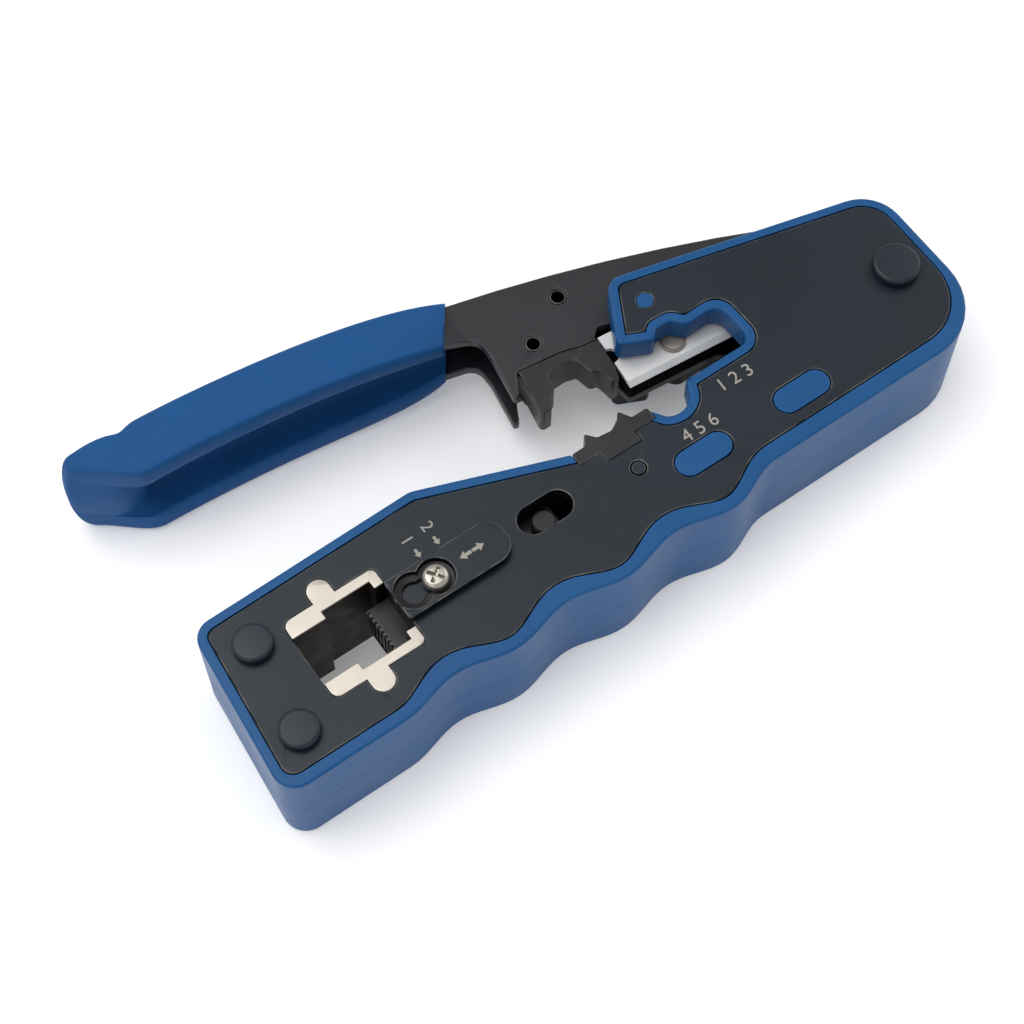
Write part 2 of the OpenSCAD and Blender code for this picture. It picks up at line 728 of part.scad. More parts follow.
// Half width of the channel along the handle: [x, how far the flare has opened, from 0 to 1]
flare = [[20, 0], [-66, 0], [-80, 0.8], [-100, 1], [-126, 1]];
function flare_sides(extra, tip) =
    let (
        half = [for (f = flare) [f[0], handle_w / 2 + f[1] * (flare_w - handle_w) / 2 + extra]],
        n = len(half)
    )
    concat(
        [for (p = half) [p[0], mid + p[1]]], [for (p = tip) [p[0], mid + p[1]]],
        [for (i = [len(tip) - 1:-1:0]) [tip[i][0], mid - tip[i][1]]],
        [for (i = [n - 1:-1:0]) [half[i][0], mid - half[i][1]]]
    );
module side_profile(points) {
    rotate([90, 0, 0]) linear_extrude(2 * tip_reach, center = true) polygon(points);
}

// Hollow under the spine, moved in by d and running out past the open side
spine_run = 50;
function hollow_corners(d, left) =
    let (
        first = at(spine[0]),
        slope = unit(first - at(spine[1])),
        last = spine[len(spine) - 1],
        start = first + spine_run * slope
    )
    inset(concat(
        [[start.x, start.y, 0]], [for (i = [1:len(spine) - 1]) spine[i]],
        [[left - d, last.y + 0.05 * (last.x - left), 0], [left - d, -90, 0], [start.x, -90, 0]]
    ), d);

module channel_solid() {
    difference() {
        intersection() {
            union() {
                plan(cheek(upper_cheek_edge), mid, body_t);
                plan(cheek(lower_cheek_edge), 0, mid);
                pin_at([0, 0], eye_d / 2, 0, body_t);
            }
            side_profile(flare_sides(0, [[-tip_reach, flare_w / 2]]));
        }
        intersection() {
            plan(hollow_corners(sheet_t, -tip_reach), 0, body_t);
            side_profile(flare_sides(-sheet_t, [[-tip_reach, flare_w / 2 - sheet_t]]));
        }
    }
}

module handle_channel() {
    color(black) difference() {
        channel_solid();
        pin_at([0, 0], pivot_d / 2 + run_gap, -over, body_t + over);
        pin_at(link_pin_at, link_pin_d / 2 + run_gap, -over, body_t + over);
        for (p = die_pins_at) pin_at(p, die_pin_d / 2 + run_gap, -over, body_t + over);
        pin_at(blade_rivet_at, blade_shank_d / 2 + run_gap, -over, mid);
    }
}

// Grip: a dipped skin on both faces of the channel, closed by a nose at the tip
// Its mouth is square to the handle
grip_out_x = -66;
grip_in_x = -70;
// The nose bulges a little at the back, and its front edge runs back steeply from the tip to the cheeks
grip_tip_x = handle_end - 1.1;
grip_nose_x = handle_end + 3.2;
grip_tip_drop = 1;
grip_swell = 0.8;
grip_nose_depth = 4.4;
grip_corners = concat(
    [
        [grip_in_x, spine_y(grip_in_x) - handle_depth + mouth_rise - coat_t, 0],
        [grip_out_x, spine_y(grip_out_x) + coat_t, 0]
    ],
    [for (k = [1:spine_steps / 2])
        let (x = grip_out_x + (tang_x - grip_out_x) * k / (spine_steps / 2))
        [x, spine_y(x) + coat_t, 0]],
    [
        [grip_nose_x, spine_y(grip_nose_x) + coat_t + grip_swell, 3],
        [grip_tip_x, handle_top - grip_tip_drop, 2],
        [grip_nose_x, spine_y(grip_nose_x) - grip_nose_depth, 6],
        [tang_x, spine_y(tang_x) - handle_depth - coat_t + grip_swell, 14],
        [cheek_deep_x, spine_y(cheek_deep_x) - handle_depth - coat_t, 60]
    ]
);
grip_tip = [[grip_nose_x, 0.97], [grip_tip_x + 1, 0.8], [grip_tip_x - 0.2, 0.5]];
hollow_end = -129;
module grip() {
    tip = [for (t = grip_tip) [t[0], t[1] * (flare_w / 2 + coat_t)]];
    color(blue) difference() {
        intersection() {
            plan(grip_corners, 0, body_t);
            side_profile(flare_sides(coat_t, tip));
        }
        intersection() {
            plan(hollow_corners(sheet_t + coat_t, hollow_end), 0, body_t);
            side_profile(flare_sides(-sheet_t - coat_t, [[-tip_reach, flare_w / 2 - sheet_t - coat_t]]));
        }
        channel_solid();
    }
}

// Moving die: a jaw flush with the upper cheek, on a tongue pinned between the cheeks
die_pins_at = [[-48.3, 30.7], [-57.1, 25.5]];
jaw_corners = [
    [-62.4, 22.5, 0], [-63, 19, 1], [-63.9, 14.1, 0.8], [-63.4, 13.4, 0.4], [-61.8, 13.4, 0.5],
    [-60.3, 15.9, 1], [-59.3, 16.2, 0.4], [-58.5, 19.3, 2], [-53.3, 19.3, 1.8], [-52.5, 15.3, 1],
    [-51.2, 15, 0.5],
    [-50.6, 11.7, 0.7], [-49.1, 11.6, 0.6], [-48.2, 14.6, 2], [-47.7, 20, 0], [-51, 20.5, 0],
    [-54.4, 21.5, 0]
];
tongue_corners = [
    [-62.2, 20.4, 0.5], [-48.4, 20.4, 0], [-48.4, 22.4, 0.5], [-45.4, 24.6, 1], [-45.4, 31.4, 1.5],
    [-50, 33, 2], [-61.2, 28, 2]
];
module moving_die() {
    color(black) difference() {
        union() {
            plan(inset(jaw_corners, seat_gap / 2), cheek_hi - die_t, cheek_hi);
            plan(tongue_corners, channel_lo + run_gap, channel_hi - run_gap);
        }
        for (p = die_pins_at) pin_at(p, die_pin_d / 2 + run_gap, -over, body_t + over);
    }
}

module die_pins() {
    color(black) for (p = die_pins_at) difference() {
        pin_at(p, die_pin_d / 2, cheek_lo, cheek_hi);
        pin_at(p, die_pin_bore / 2, cheek_lo - over, cheek_hi + over);
    }
}

// Blade: ground along its lower edge, riveted to a holder on the lower cheek, level with the upper cheek
blade_hi = cheek_hi - 0.6;
blade_lo = blade_hi - blade_t;
edge_ends = [[-48.3, 9.7], [-27.4, 7.8]];
bevel_w = 0.9;
blade_rivet_at = [-37.3, 12.6];
blade_shank_d = 2.4;
// Round notches in both ends of the blade, at this height above its edge
blade_notch_d = 3;
blade_notch_h = 6.7;
blade_rivet_h = 0.5;
function blade_back(w) =
    let (up = left_of(unit(edge_ends[1] - edge_ends[0])))
    [edge_ends[1] + w * up, edge_ends[0] + w * up];
module blade() {
    back = blade_back(blade_w);
    grind = blade_back(bevel_w);
    color(bright) difference() {
        union() {
            slab(blade_lo, blade_lo + blade_t / 2) polygon(concat(edge_ends, back));
            slab(blade_lo, blade_hi) polygon(concat([grind[1], grind[0]], back));
        }
        pin_at(blade_rivet_at, blade_shank_d / 2 + run_gap, 0, body_t);
        for (p = blade_back(blade_notch_h)) pin_at(p, blade_notch_d / 2, 0, body_t);
    }
}

module blade_holder() {
    color(black) difference() {
        plan([[-46.6, 11.6, 0.8], [-28.6, 10, 1.5], [-28, 17.6, 1.5], [-45.8, 19.4, 0.8]],
            channel_lo, blade_lo);
        pin_at(blade_rivet_at, blade_shank_d / 2 + run_gap, 0, body_t);
    }
}

module blade_rivet() {
    color(bright) {
        pin_at(blade_rivet_at, blade_shank_d / 2, cheek_lo, blade_hi + blade_rivet_h / 2);
        pin_at(blade_rivet_at, blade_rivet_d / 2, blade_hi, blade_hi + blade_rivet_h);
    }
}

upper_shell();
lower_shell();
upper_cover_plate();
lower_cover_plate();
pivot_rivet();
nest_rivets();
frame_pin();
plug_nest();
fixed_die();
pivot_bush();
return_spring();
ram();
trim_blade();
contact_comb();
strain_presser();
ram_pin();
drive_link();
link_pin();
selector_plate();
selector_screw();
handle_channel();
grip();
moving_die();
die_pins();
blade();
blade_holder();
blade_rivet();
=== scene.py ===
import math

import bmesh
import bpy
import numpy as np
from mathutils import Matrix, Vector
from mathutils.geometry import delaunay_2d_cdt


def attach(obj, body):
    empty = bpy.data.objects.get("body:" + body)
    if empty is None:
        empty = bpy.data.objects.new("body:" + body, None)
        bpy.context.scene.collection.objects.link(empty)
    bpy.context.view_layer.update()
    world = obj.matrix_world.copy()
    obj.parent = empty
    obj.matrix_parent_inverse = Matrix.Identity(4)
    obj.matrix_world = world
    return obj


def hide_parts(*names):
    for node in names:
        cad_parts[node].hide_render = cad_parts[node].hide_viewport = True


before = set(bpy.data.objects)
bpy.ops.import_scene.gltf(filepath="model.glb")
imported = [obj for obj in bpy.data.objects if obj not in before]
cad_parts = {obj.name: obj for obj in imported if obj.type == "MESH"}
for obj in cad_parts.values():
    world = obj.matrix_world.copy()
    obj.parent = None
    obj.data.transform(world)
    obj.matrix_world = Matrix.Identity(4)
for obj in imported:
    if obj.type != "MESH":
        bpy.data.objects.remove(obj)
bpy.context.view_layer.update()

# Floor, light and camera
# A pale, faintly glowing sheet under the tool, in a bright tent whose sides glow more than its top.
# A large soft box hangs above the grip and a smaller one stands at each end.
# The camera looks steeply down.
mm = 0.001
aim_point = Vector((-62, 14, 10)) * mm
camera_place = Vector((-170.1, -129.0, 336.1)) * mm
camera_look = Vector((0.2566, 0.3650, -0.8949))
camera_lens = 77.34
floor_drop = 0.05 * mm
floor_reach = 4.0
floor_steps = 24
floor_glow = 0.18
side_glow, top_glow = 0.7, 0.5


def paint(red, green, blue):
    """Colour given in display steps from 0 to 255, as linear light: c to the power 2.2."""
    return tuple((c / 255) ** 2.2 for c in (red, green, blue)) + (1.0,)


def surface(points, wrap_u=False, wrap_v=False):
    """Corners and quads of a grid of points: quad (i, j) joins (i, j), (i+1, j), (i+1, j+1), (i, j+1)."""
    rows, cols = points.shape[:2]
    i, j = np.meshgrid(
        np.arange(rows if wrap_u else rows - 1), np.arange(cols if wrap_v else cols - 1), indexing="ij"
    )
    down, right = (i + 1) % rows, (j + 1) % cols
    quads = np.stack([i * cols + j, down * cols + j, down * cols + right, i * cols + right], -1)
    return points.reshape(-1, 3), quads.reshape(-1, 4)


def build(name, parts, smooth_angle=40):
    """One object at the origin from several surfaces: doubles joined, faces turned outwards."""
    offsets = np.cumsum([0] + [len(corners) for corners, _ in parts[:-1]])
    corners = np.concatenate([c for c, _ in parts]) * mm
    faces = [tuple(f) for (_, quads), o in zip(parts, offsets) for f in (np.asarray(quads) + o).tolist()]
    mesh = bpy.data.meshes.new(name)
    mesh.from_pydata(corners.tolist(), [], faces)
    work = bmesh.new()
    work.from_mesh(mesh)
    bmesh.ops.remove_doubles(work, verts=work.verts, dist=0.002 * mm)
    bmesh.ops.recalc_face_normals(work, faces=work.faces)
    work.to_mesh(mesh)
    work.free()
    mesh.shade_smooth()
    mesh.set_sharp_from_angle(angle=math.radians(smooth_angle))
    piece = bpy.data.objects.new(name, mesh)
    bpy.context.scene.collection.objects.link(piece)
    return piece


def finish_of(name, colour, roughness, **sockets):
    """New material with one Principled shader. Sockets that are the same all over are set on it."""
    material = bpy.data.materials.new(name)
    material.use_nodes = True
    shader = material.node_tree.nodes["Principled BSDF"]
    shader.inputs["Base Color"].default_value = colour
    shader.inputs["Roughness"].default_value = roughness
    for label, value in sockets.items():
        shader.inputs[label.replace("_", " ")].default_value = value
    return material, material.node_tree, shader


side = np.linspace(-floor_reach, floor_reach, floor_steps) / mm
floor_x, floor_y = np.meshgrid(side, side, indexing="ij")
floor_z = np.full_like(floor_x, -floor_drop / mm)
floor = build("floor", [surface(np.stack([floor_x, floor_y, floor_z], -1))])
floor_paper, paper_tree, paper_shader = finish_of(
    "floor_paper", paint(246, 246, 247), 0.9, Emission_Color=(1, 1, 1, 1), Emission_Strength=floor_glow
)
paper_noise = paper_tree.nodes.new("ShaderNodeTexNoise")
paper_noise.inputs["Scale"].default_value = 400
paper_bump = paper_tree.nodes.new("ShaderNodeBump")
paper_bump.inputs["Strength"].default_value = 0.03
paper_tree.links.new(paper_noise.outputs["Fac"], paper_bump.inputs["Height"])
paper_tree.links.new(paper_bump.outputs["Normal"], paper_shader.inputs["Normal"])
floor.data.materials.append(floor_paper)

world = bpy.data.worlds.new("light_tent")
world.use_nodes = True
tent = world.node_tree.nodes["Background"]
tent.inputs["Color"].default_value = (1, 1, 1, 1)
tent_way = world.node_tree.nodes.new("ShaderNodeTexCoord")
tent_parts = world.node_tree.nodes.new("ShaderNodeSeparateXYZ")
tent_glow = world.node_tree.nodes.new("ShaderNodeMapRange")
tent_glow.inputs["To Min"].default_value = side_glow
tent_glow.inputs["To Max"].default_value = top_glow
world.node_tree.links.new(tent_way.outputs["Generated"], tent_parts.inputs["Vector"])
world.node_tree.links.new(tent_parts.outputs["Z"], tent_glow.inputs["Value"])
world.node_tree.links.new(tent_glow.outputs["Result"], tent.inputs["Strength"])
bpy.context.scene.world = world
bpy.context.scene.view_settings.view_transform = "Standard"


def soft_box(name, place, size, watts):
    """Square area light at a place given in metres, turned towards the tool."""
    light = bpy.data.lights.new(name, "AREA")
    light.size = size
    light.energy = watts
    lamp = bpy.data.objects.new(name, light)
    lamp.location = place
    lamp.rotation_euler = (aim_point - Vector(place)).to_track_quat("-Z", "Y").to_euler()
    bpy.context.scene.collection.objects.link(lamp)


soft_box("box_above", (-0.35, 0.35, 1.05), 0.9, 7.0)
soft_box("box_head_end", (0.9, 0.1, 0.7), 0.7, 2.6)
soft_box("box_nest_end", (-0.9, -0.35, 0.7), 0.7, 1.2)

lens = bpy.data.cameras.new("camera")
lens.lens = camera_lens
lens.clip_start = 0.01
camera = bpy.data.objects.new("camera", lens)
camera.location = camera_place
camera.rotation_euler = camera_look.to_track_quat("-Z", "Y").to_euler()
bpy.context.scene.collection.objects.link(camera)
bpy.context.scene.camera = camera

# Shells
# Two mirrored half casings of satin blue ABS, injection moulded and joined on the middle plane.
# Each rim is a round bead that frames a cover plate, and the small round ends show the parting line.
mid = 10.5
bead_r = 0.5
inner_share = 0.1
seam_share = 0.18


def node_group(name, inputs, outputs):
    """Shader node group with number inputs and the named outputs, and its two end nodes."""
    group = bpy.data.node_groups.new(name, "ShaderNodeTree")
    for label, value in inputs.items():
        socket = group.interface.new_socket(label, in_out="INPUT", socket_type="NodeSocketFloat")
        socket.default_value = value
    for label in outputs:
        group.interface.new_socket(label, in_out="OUTPUT", socket_type="NodeSocketFloat")
    return group, group.nodes.new("NodeGroupInput"), group.nodes.new("NodeGroupOutput")


# Edge rubbing and painted highlight: edges are lightened where the surface a little way round differs
# from the surface here, and by the share Round also where it leans, as it does only on the rounded edges
# of flat pieces. Both are broken up by noise.
edge_wear_and_sheen, wear_in, wear_out = node_group(
    "edge_wear_and_sheen", {"Radius": 0.0003, "Break": 300.0, "Reach": 0.06, "Round": 0.0}, ["Mask"]
)
wear_bevel = edge_wear_and_sheen.nodes.new("ShaderNodeBevel")
wear_bevel.samples = 4
wear_here = edge_wear_and_sheen.nodes.new("ShaderNodeNewGeometry")
wear_dot = edge_wear_and_sheen.nodes.new("ShaderNodeVectorMath")
wear_dot.operation = "DOT_PRODUCT"
wear_turn = edge_wear_and_sheen.nodes.new("ShaderNodeMath")
wear_turn.operation = "SUBTRACT"
wear_turn.inputs[0].default_value = 1.0
wear_share = edge_wear_and_sheen.nodes.new("ShaderNodeMath")
wear_share.operation = "DIVIDE"
wear_share.use_clamp = True
wear_coords = edge_wear_and_sheen.nodes.new("ShaderNodeTexCoord")
wear_noise = edge_wear_and_sheen.nodes.new("ShaderNodeTexNoise")
wear_ramp = edge_wear_and_sheen.nodes.new("ShaderNodeMapRange")
wear_ramp.inputs["From Min"].default_value = 0.3
wear_ramp.inputs["From Max"].default_value = 0.62
sheen_upright = edge_wear_and_sheen.nodes.new("ShaderNodeSeparateXYZ")
sheen_square = edge_wear_and_sheen.nodes.new("ShaderNodeMath")
sheen_square.operation = "POWER"
sheen_square.inputs[1].default_value = 2.0
sheen_lean = edge_wear_and_sheen.nodes.new("ShaderNodeMath")
sheen_lean.operation = "PINGPONG"
sheen_lean.inputs[1].default_value = 0.5
wear_and_sheen_sum = edge_wear_and_sheen.nodes.new("ShaderNodeMath")
wear_and_sheen_sum.operation = "MULTIPLY_ADD"
wear_and_sheen_sum.use_clamp = True
wear_and_sheen_mask = edge_wear_and_sheen.nodes.new("ShaderNodeMath")
wear_and_sheen_mask.operation = "MULTIPLY"
for start, end in (
    (wear_in.outputs["Radius"], wear_bevel.inputs["Radius"]),
    (wear_bevel.outputs["Normal"], wear_dot.inputs[0]),
    (wear_here.outputs["Normal"], wear_dot.inputs[1]),
    (wear_dot.outputs["Value"], wear_turn.inputs[1]),
    (wear_turn.outputs["Value"], wear_share.inputs[0]),
    (wear_in.outputs["Reach"], wear_share.inputs[1]),
    (wear_coords.outputs["Object"], wear_noise.inputs["Vector"]),
    (wear_in.outputs["Break"], wear_noise.inputs["Scale"]),
    (wear_noise.outputs["Fac"], wear_ramp.inputs["Value"]),
    (wear_here.outputs["True Normal"], sheen_upright.inputs["Vector"]),
    (sheen_upright.outputs["Z"], sheen_square.inputs[0]),
    (sheen_square.outputs["Value"], sheen_lean.inputs[0]),
    (sheen_lean.outputs["Value"], wear_and_sheen_sum.inputs[0]),
    (wear_in.outputs["Round"], wear_and_sheen_sum.inputs[1]),
    (wear_share.outputs["Value"], wear_and_sheen_sum.inputs[2]),
    (wear_and_sheen_sum.outputs["Value"], wear_and_sheen_mask.inputs[0]),
    (wear_ramp.outputs["Result"], wear_and_sheen_mask.inputs[1]),
    (wear_and_sheen_mask.outputs["Value"], wear_out.inputs["Mask"]),
):
    edge_wear_and_sheen.links.new(start, end)

# Surface grain: fine noise for the relief and broad noise for the tone
surface_grain, grain_in, grain_out = node_group(
    "surface_grain", {"Fine": 2500.0, "Broad": 60.0}, ["Height", "Tone"]
)
grain_coords = surface_grain.nodes.new("ShaderNodeTexCoord")
for label, output, detail in (("Fine", "Height", 3.0), ("Broad", "Tone", 5.0)):
    grain_noise = surface_grain.nodes.new("ShaderNodeTexNoise")
    grain_noise.inputs["Detail"].default_value = detail
    surface_grain.links.new(grain_coords.outputs["Object"], grain_noise.inputs["Vector"])
    surface_grain.links.new(grain_in.outputs[label], grain_noise.inputs["Scale"])
    surface_grain.links.new(grain_noise.outputs["Fac"], grain_out.inputs[output])


def dress(
    material, tree, shader, dark, light, wear_and_sheen, rough, fine, broad, relief, radius, reach, lean=0.0
):
    """Adds grain and edge colour: the colour runs from dark to light with the broad tone, and to the edge
    colour on edges, which stands for rubbed metal and, on some finishes, also for a painted highlight.

    rough is (lowest, highest) over the tone, relief the bump's depth in metres, lean the share Round,
    which adds a painted highlight on the rounded edges of flat pieces.
    """
    grain = tree.nodes.new("ShaderNodeGroup")
    grain.node_tree = surface_grain
    grain.inputs["Fine"].default_value = fine
    grain.inputs["Broad"].default_value = broad
    wear_and_sheen_node = tree.nodes.new("ShaderNodeGroup")
    wear_and_sheen_node.node_tree = edge_wear_and_sheen
    wear_and_sheen_node.inputs["Radius"].default_value = radius
    wear_and_sheen_node.inputs["Reach"].default_value = reach
    wear_and_sheen_node.inputs["Round"].default_value = lean
    tone = tree.nodes.new("ShaderNodeMix")
    tone.data_type = "RGBA"
    tone.inputs["A"].default_value = dark
    tone.inputs["B"].default_value = light
    edge = tree.nodes.new("ShaderNodeMix")
    edge.data_type = "RGBA"
    edge.inputs["B"].default_value = wear_and_sheen
    gloss = tree.nodes.new("ShaderNodeMapRange")
    gloss.inputs["From Min"].default_value = 0.3
    gloss.inputs["From Max"].default_value = 0.7
    gloss.inputs["To Min"].default_value = rough[0]
    gloss.inputs["To Max"].default_value = rough[1]
    bump = tree.nodes.new("ShaderNodeBump")
    bump.inputs["Distance"].default_value = relief
    bump.inputs["Strength"].default_value = 1.0
    for start, end in (
        (grain.outputs["Tone"], tone.inputs["Factor"]),
        (tone.outputs["Result"], edge.inputs["A"]),
        (wear_and_sheen_node.outputs["Mask"], edge.inputs["Factor"]),
        (edge.outputs["Result"], shader.inputs["Base Color"]),
        (grain.outputs["Tone"], gloss.inputs["Value"]),
        (gloss.outputs["Result"], shader.inputs["Roughness"]),
        (grain.outputs["Height"], bump.inputs["Height"]),
        (bump.outputs["Normal"], shader.inputs["Normal"]),
    ):
        tree.links.new(start, end)
    return material


# Within a box: how far a point lies inside the box's sides, as a share of the fade
in_box, box_in, box_out = node_group(
    "in_box", {k: 0.0 for k in ("X", "Y", "Z", "Half X", "Half Y", "Half Z", "Fade")}, ["Mask"]
)
box_coords = in_box.nodes.new("ShaderNodeTexCoord")
box_parts = in_box.nodes.new("ShaderNodeSeparateXYZ")
in_box.links.new(box_coords.outputs["Object"], box_parts.inputs["Vector"])


def box_math(operation, first, second=None):
    """One step of sums inside the box group, on the outputs of two other nodes."""
    step = in_box.nodes.new("ShaderNodeMath")
    step.operation = operation
    in_box.links.new(first, step.inputs[0])
    if second:
        in_box.links.new(second, step.inputs[1])
    return step.outputs["Value"]


box_depths = []
for axis in "XYZ":
    from_middle = box_math("SUBTRACT", box_parts.outputs[axis], box_in.outputs[axis])
    off_middle = box_math("ABSOLUTE", from_middle)
    box_depths.append(box_math("SUBTRACT", box_in.outputs["Half " + axis], off_middle))
box_depth = box_math("MINIMUM", box_math("MINIMUM", *box_depths[:2]), box_depths[2])
box_share = box_math("DIVIDE", box_depth, box_in.outputs["Fade"])
box_share.node.use_clamp = True
in_box.links.new(box_share, box_out.inputs["Mask"])


def paint_shade_inside(material, colour, middle, half, fade=0.15):
    """Paints shade: mixes a material's colour towards a darker one inside a box, for walls that lie deep in
    the tool.

    The box is given in millimetres by its middle and half sizes, and its sides by their fade.
    """
    tree = material.node_tree
    base = tree.nodes["Principled BSDF"].inputs["Base Color"]
    box = tree.nodes.new("ShaderNodeGroup")
    box.node_tree = in_box
    for axis, place, reach in zip("XYZ", middle, half):
        box.inputs[axis].default_value = place * mm
        box.inputs["Half " + axis].default_value = reach * mm
    box.inputs["Fade"].default_value = fade * mm
    shade = tree.nodes.new("ShaderNodeMix")
    shade.data_type = "RGBA"
    shade.inputs["B"].default_value = colour
    tree.links.new(base.links[0].from_socket, shade.inputs["A"])
    tree.links.new(box.outputs["Mask"], shade.inputs["Factor"])
    tree.links.new(shade.outputs["Result"], base)


def level_of(face):
    """Height of a level face in hundredths of a millimetre, or None for any other face."""
    heights = [v.co.z for v in face.verts]
    return round(heights[0] * 100) if max(heights) - min(heights) < 0.001 else None


def within(spots, starts, ends):
    """Whether each spot lies inside closed loops: a ray towards +x crosses them an odd number of times."""
    x, y = spots[:, :1], spots[:, 1:]
    (x0, y0), (x1, y1) = starts.T, ends.T
    level = np.where(y1 == y0, 1.0, y1 - y0)
    crossed = ((y0 > y) != (y1 > y)) & (x0 + (y - y0) * (x1 - x0) / level > x)
    return crossed.sum(1) % 2 == 1


def refill_flats(work):
    """Fills every level face again from its border, so that no old triangle crosses a rounded edge."""
    for level in sorted({level_of(f) for f in work.faces} - {None}):
        faces = {f for f in work.faces if level_of(f) == level}
        upward = sum(f.normal.z * f.calc_area() for f in faces)
        border = [
            e for e in work.edges
            if any(f in faces for f in e.link_faces) and any(f not in faces for f in e.link_faces)
        ]
        bmesh.ops.delete(work, geom=list(faces), context="FACES")
        corners = list({v: None for e in border for v in e.verts})
        number = {v: i for i, v in enumerate(corners)}
        ends = np.array([[number[v] for v in e.verts] for e in border])
        flat = np.array([v.co.xy for v in corners])
        points, _, fills, sources, _, _ = delaunay_2d_cdt(flat.tolist(), ends.tolist(), [], 1, 0.00001)
        height = corners[0].co.z
        made = [
            corners[source[0]] if source else work.verts.new((point.x, point.y, height))
            for point, source in zip(points, sources)
        ]
        middles = np.array([p.to_tuple() for p in points])[np.array(fills)].mean(1)
        for fill, inside in zip(fills, within(middles, flat[ends[:, 0]], flat[ends[:, 1]])):
            if inside:
                work.faces.new([made[i] for i in (fill if upward > 0 else fill[::-1])])


def rounded_copy(node, name, radius, segments=3, shares=None):
    """Copy of a CAD node with its loose corners joined and its edges rounded, worked on in millimetres.

    Edges are rounded where they are sharper than 32 degrees, or by the share that shares(edge) gives.
    """
    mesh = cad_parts[node].data.copy()
    mesh.name = name
    mesh.materials.clear()
    if "custom_normal" in mesh.attributes:
        mesh.attributes.remove(mesh.attributes["custom_normal"])
    mesh.transform(Matrix.Scale(1 / mm, 4))
    work = bmesh.new()
    work.from_mesh(mesh)
    bmesh.ops.remove_doubles(work, verts=work.verts, dist=0.002)
    if shares:
        layer = work.edges.layers.float.new("bevel_weight_edge")
        for edge in work.edges:
            edge[layer] = shares(edge)
    work.to_mesh(mesh)
    piece = bpy.data.objects.new(name, mesh)
    bpy.context.scene.collection.objects.link(piece)
    bevel = piece.modifiers.new("rounding", "BEVEL")
    bevel.width = radius
    bevel.segments = segments
    bevel.limit_method = "WEIGHT" if shares else "ANGLE"
    bevel.angle_limit = math.radians(32)
    bevel.use_clamp_overlap = False
    work.clear()
    work.from_object(piece, bpy.context.evaluated_depsgraph_get())
    piece.modifiers.remove(bevel)
    refill_flats(work)
    work.to_mesh(mesh)
    work.free()
    mesh.transform(Matrix.Scale(mm, 4))
    mesh.shade_smooth()
    piece.modifiers.new("flats", "WEIGHTED_NORMAL").weight = 60
    return piece


def fit(piece, body, slot, material, *nodes):
    """Gives a piece its material, puts it on a body, and lets it stand for its CAD nodes."""
    piece.data.materials.append(material)
    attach(piece, body)
    if nodes:
        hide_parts(*nodes)
    return piece


def shell_share(edge):
    """Share of the bead's radius on an edge of a shell, by its ends' distance from the middle plane."""
    if len(edge.link_faces) != 2 or edge.calc_face_angle() < 0.6:
        return 0.0
    heights = [abs(v.co.z - mid) for v in edge.verts]
    if min(heights) > mid - 0.01:
        walls = [f for f in edge.link_faces if abs(f.normal.z) < 0.5]
        depth = mid - min(abs(v.co.z - mid) for f in walls for v in f.verts)
        return 1.0 if depth > 2 else inner_share
    if max(heights) < 0.01:
        return seam_share
    if abs(heights[0] - heights[1]) < 0.01 and heights[0] > 5.7:
        return seam_share / 2
    return 0.0


shell_plastic = dress(
    *finish_of("shell_plastic", paint(21, 73, 119), 0.4, Specular_IOR_Level=0.25),
    dark=paint(18, 72, 120), light=paint(27, 83, 135), wear_and_sheen=paint(42, 97, 151),
    rough=(0.34, 0.46), fine=5200, broad=90, relief=0.000012, radius=0.0004, reach=0.25,
)
# Painted shade: darker walls in the nest's pocket, the long slot and the jaw's lower tab
paint_shade_inside(shell_plastic, paint(9, 11, 15), (-110, -3.5, mid), (9.5, 8.4, 9.2))
paint_shade_inside(shell_plastic, paint(9, 11, 15), (-75.4, -3.5, mid), (6, 4, 9.2))
paint_shade_inside(shell_plastic, paint(9, 13, 19), (-37.5, 13, 5.4), (11.5, 9.6, 4.9))
for node, name in (("upper_shell", "shell_upper"), ("lower_shell", "shell_lower")):
    fit(rounded_copy(node, name, bead_r, 4, shell_share), "body", "shell_plastic", shell_plastic, node)

# Cover plates
# Two stamped steel plates with a dark satin coating, let into the shells and held by the rivets.
# The stamping leaves a small round on every edge. Its light colour is partly steel shining through
# the thin coating and partly a painted highlight along the round.
plate_steel = dress(
    *finish_of("plate_steel", paint(22, 32, 40), 0.4, Specular_IOR_Level=0.36),
    dark=paint(17, 27, 36), light=paint(25, 36, 46), wear_and_sheen=paint(140, 138, 133),
    rough=(0.34, 0.44), fine=3800, broad=45, relief=0.000008, radius=0.0001, reach=0.5, lean=1.6,
)
# Painted shade: the plates' walls, between their outer faces, are coloured near black for the gaps round
# them
paint_shade_inside(plate_steel, paint(7, 8, 10), (-64, 2, mid), (90, 60, 10.25))
for node, name in (("upper_cover_plate", "plate_upper"), ("lower_cover_plate", "plate_lower")):
    fit(rounded_copy(node, name, 0.22), "body", "plate_steel", plate_steel, node)

# Rivets
# Three dark steel rivets through both shells, each with a raised flat head and a foot set flush below.
# The heads are upset in a die, so their faces are slightly crowned and their edges fully round.
head_low, head_high, foot_high = 21.0, 22.8, 1.2
head_edge = 0.65


def turned(profile, centre, steps=64):
    """Profile of [radius, height] turned about an upright axis: x = cx + r cos a, y = cy + r sin a."""
    profile = np.asarray(profile, float)
    angle = np.linspace(0, 2 * np.pi, steps, endpoint=False)
    x = centre[0] + profile[:, :1] * np.cos(angle)
    y = centre[1] + profile[:, :1] * np.sin(angle)
    return surface(np.stack([x, y, np.broadcast_to(profile[:, 1:], x.shape)], -1), wrap_v=True)


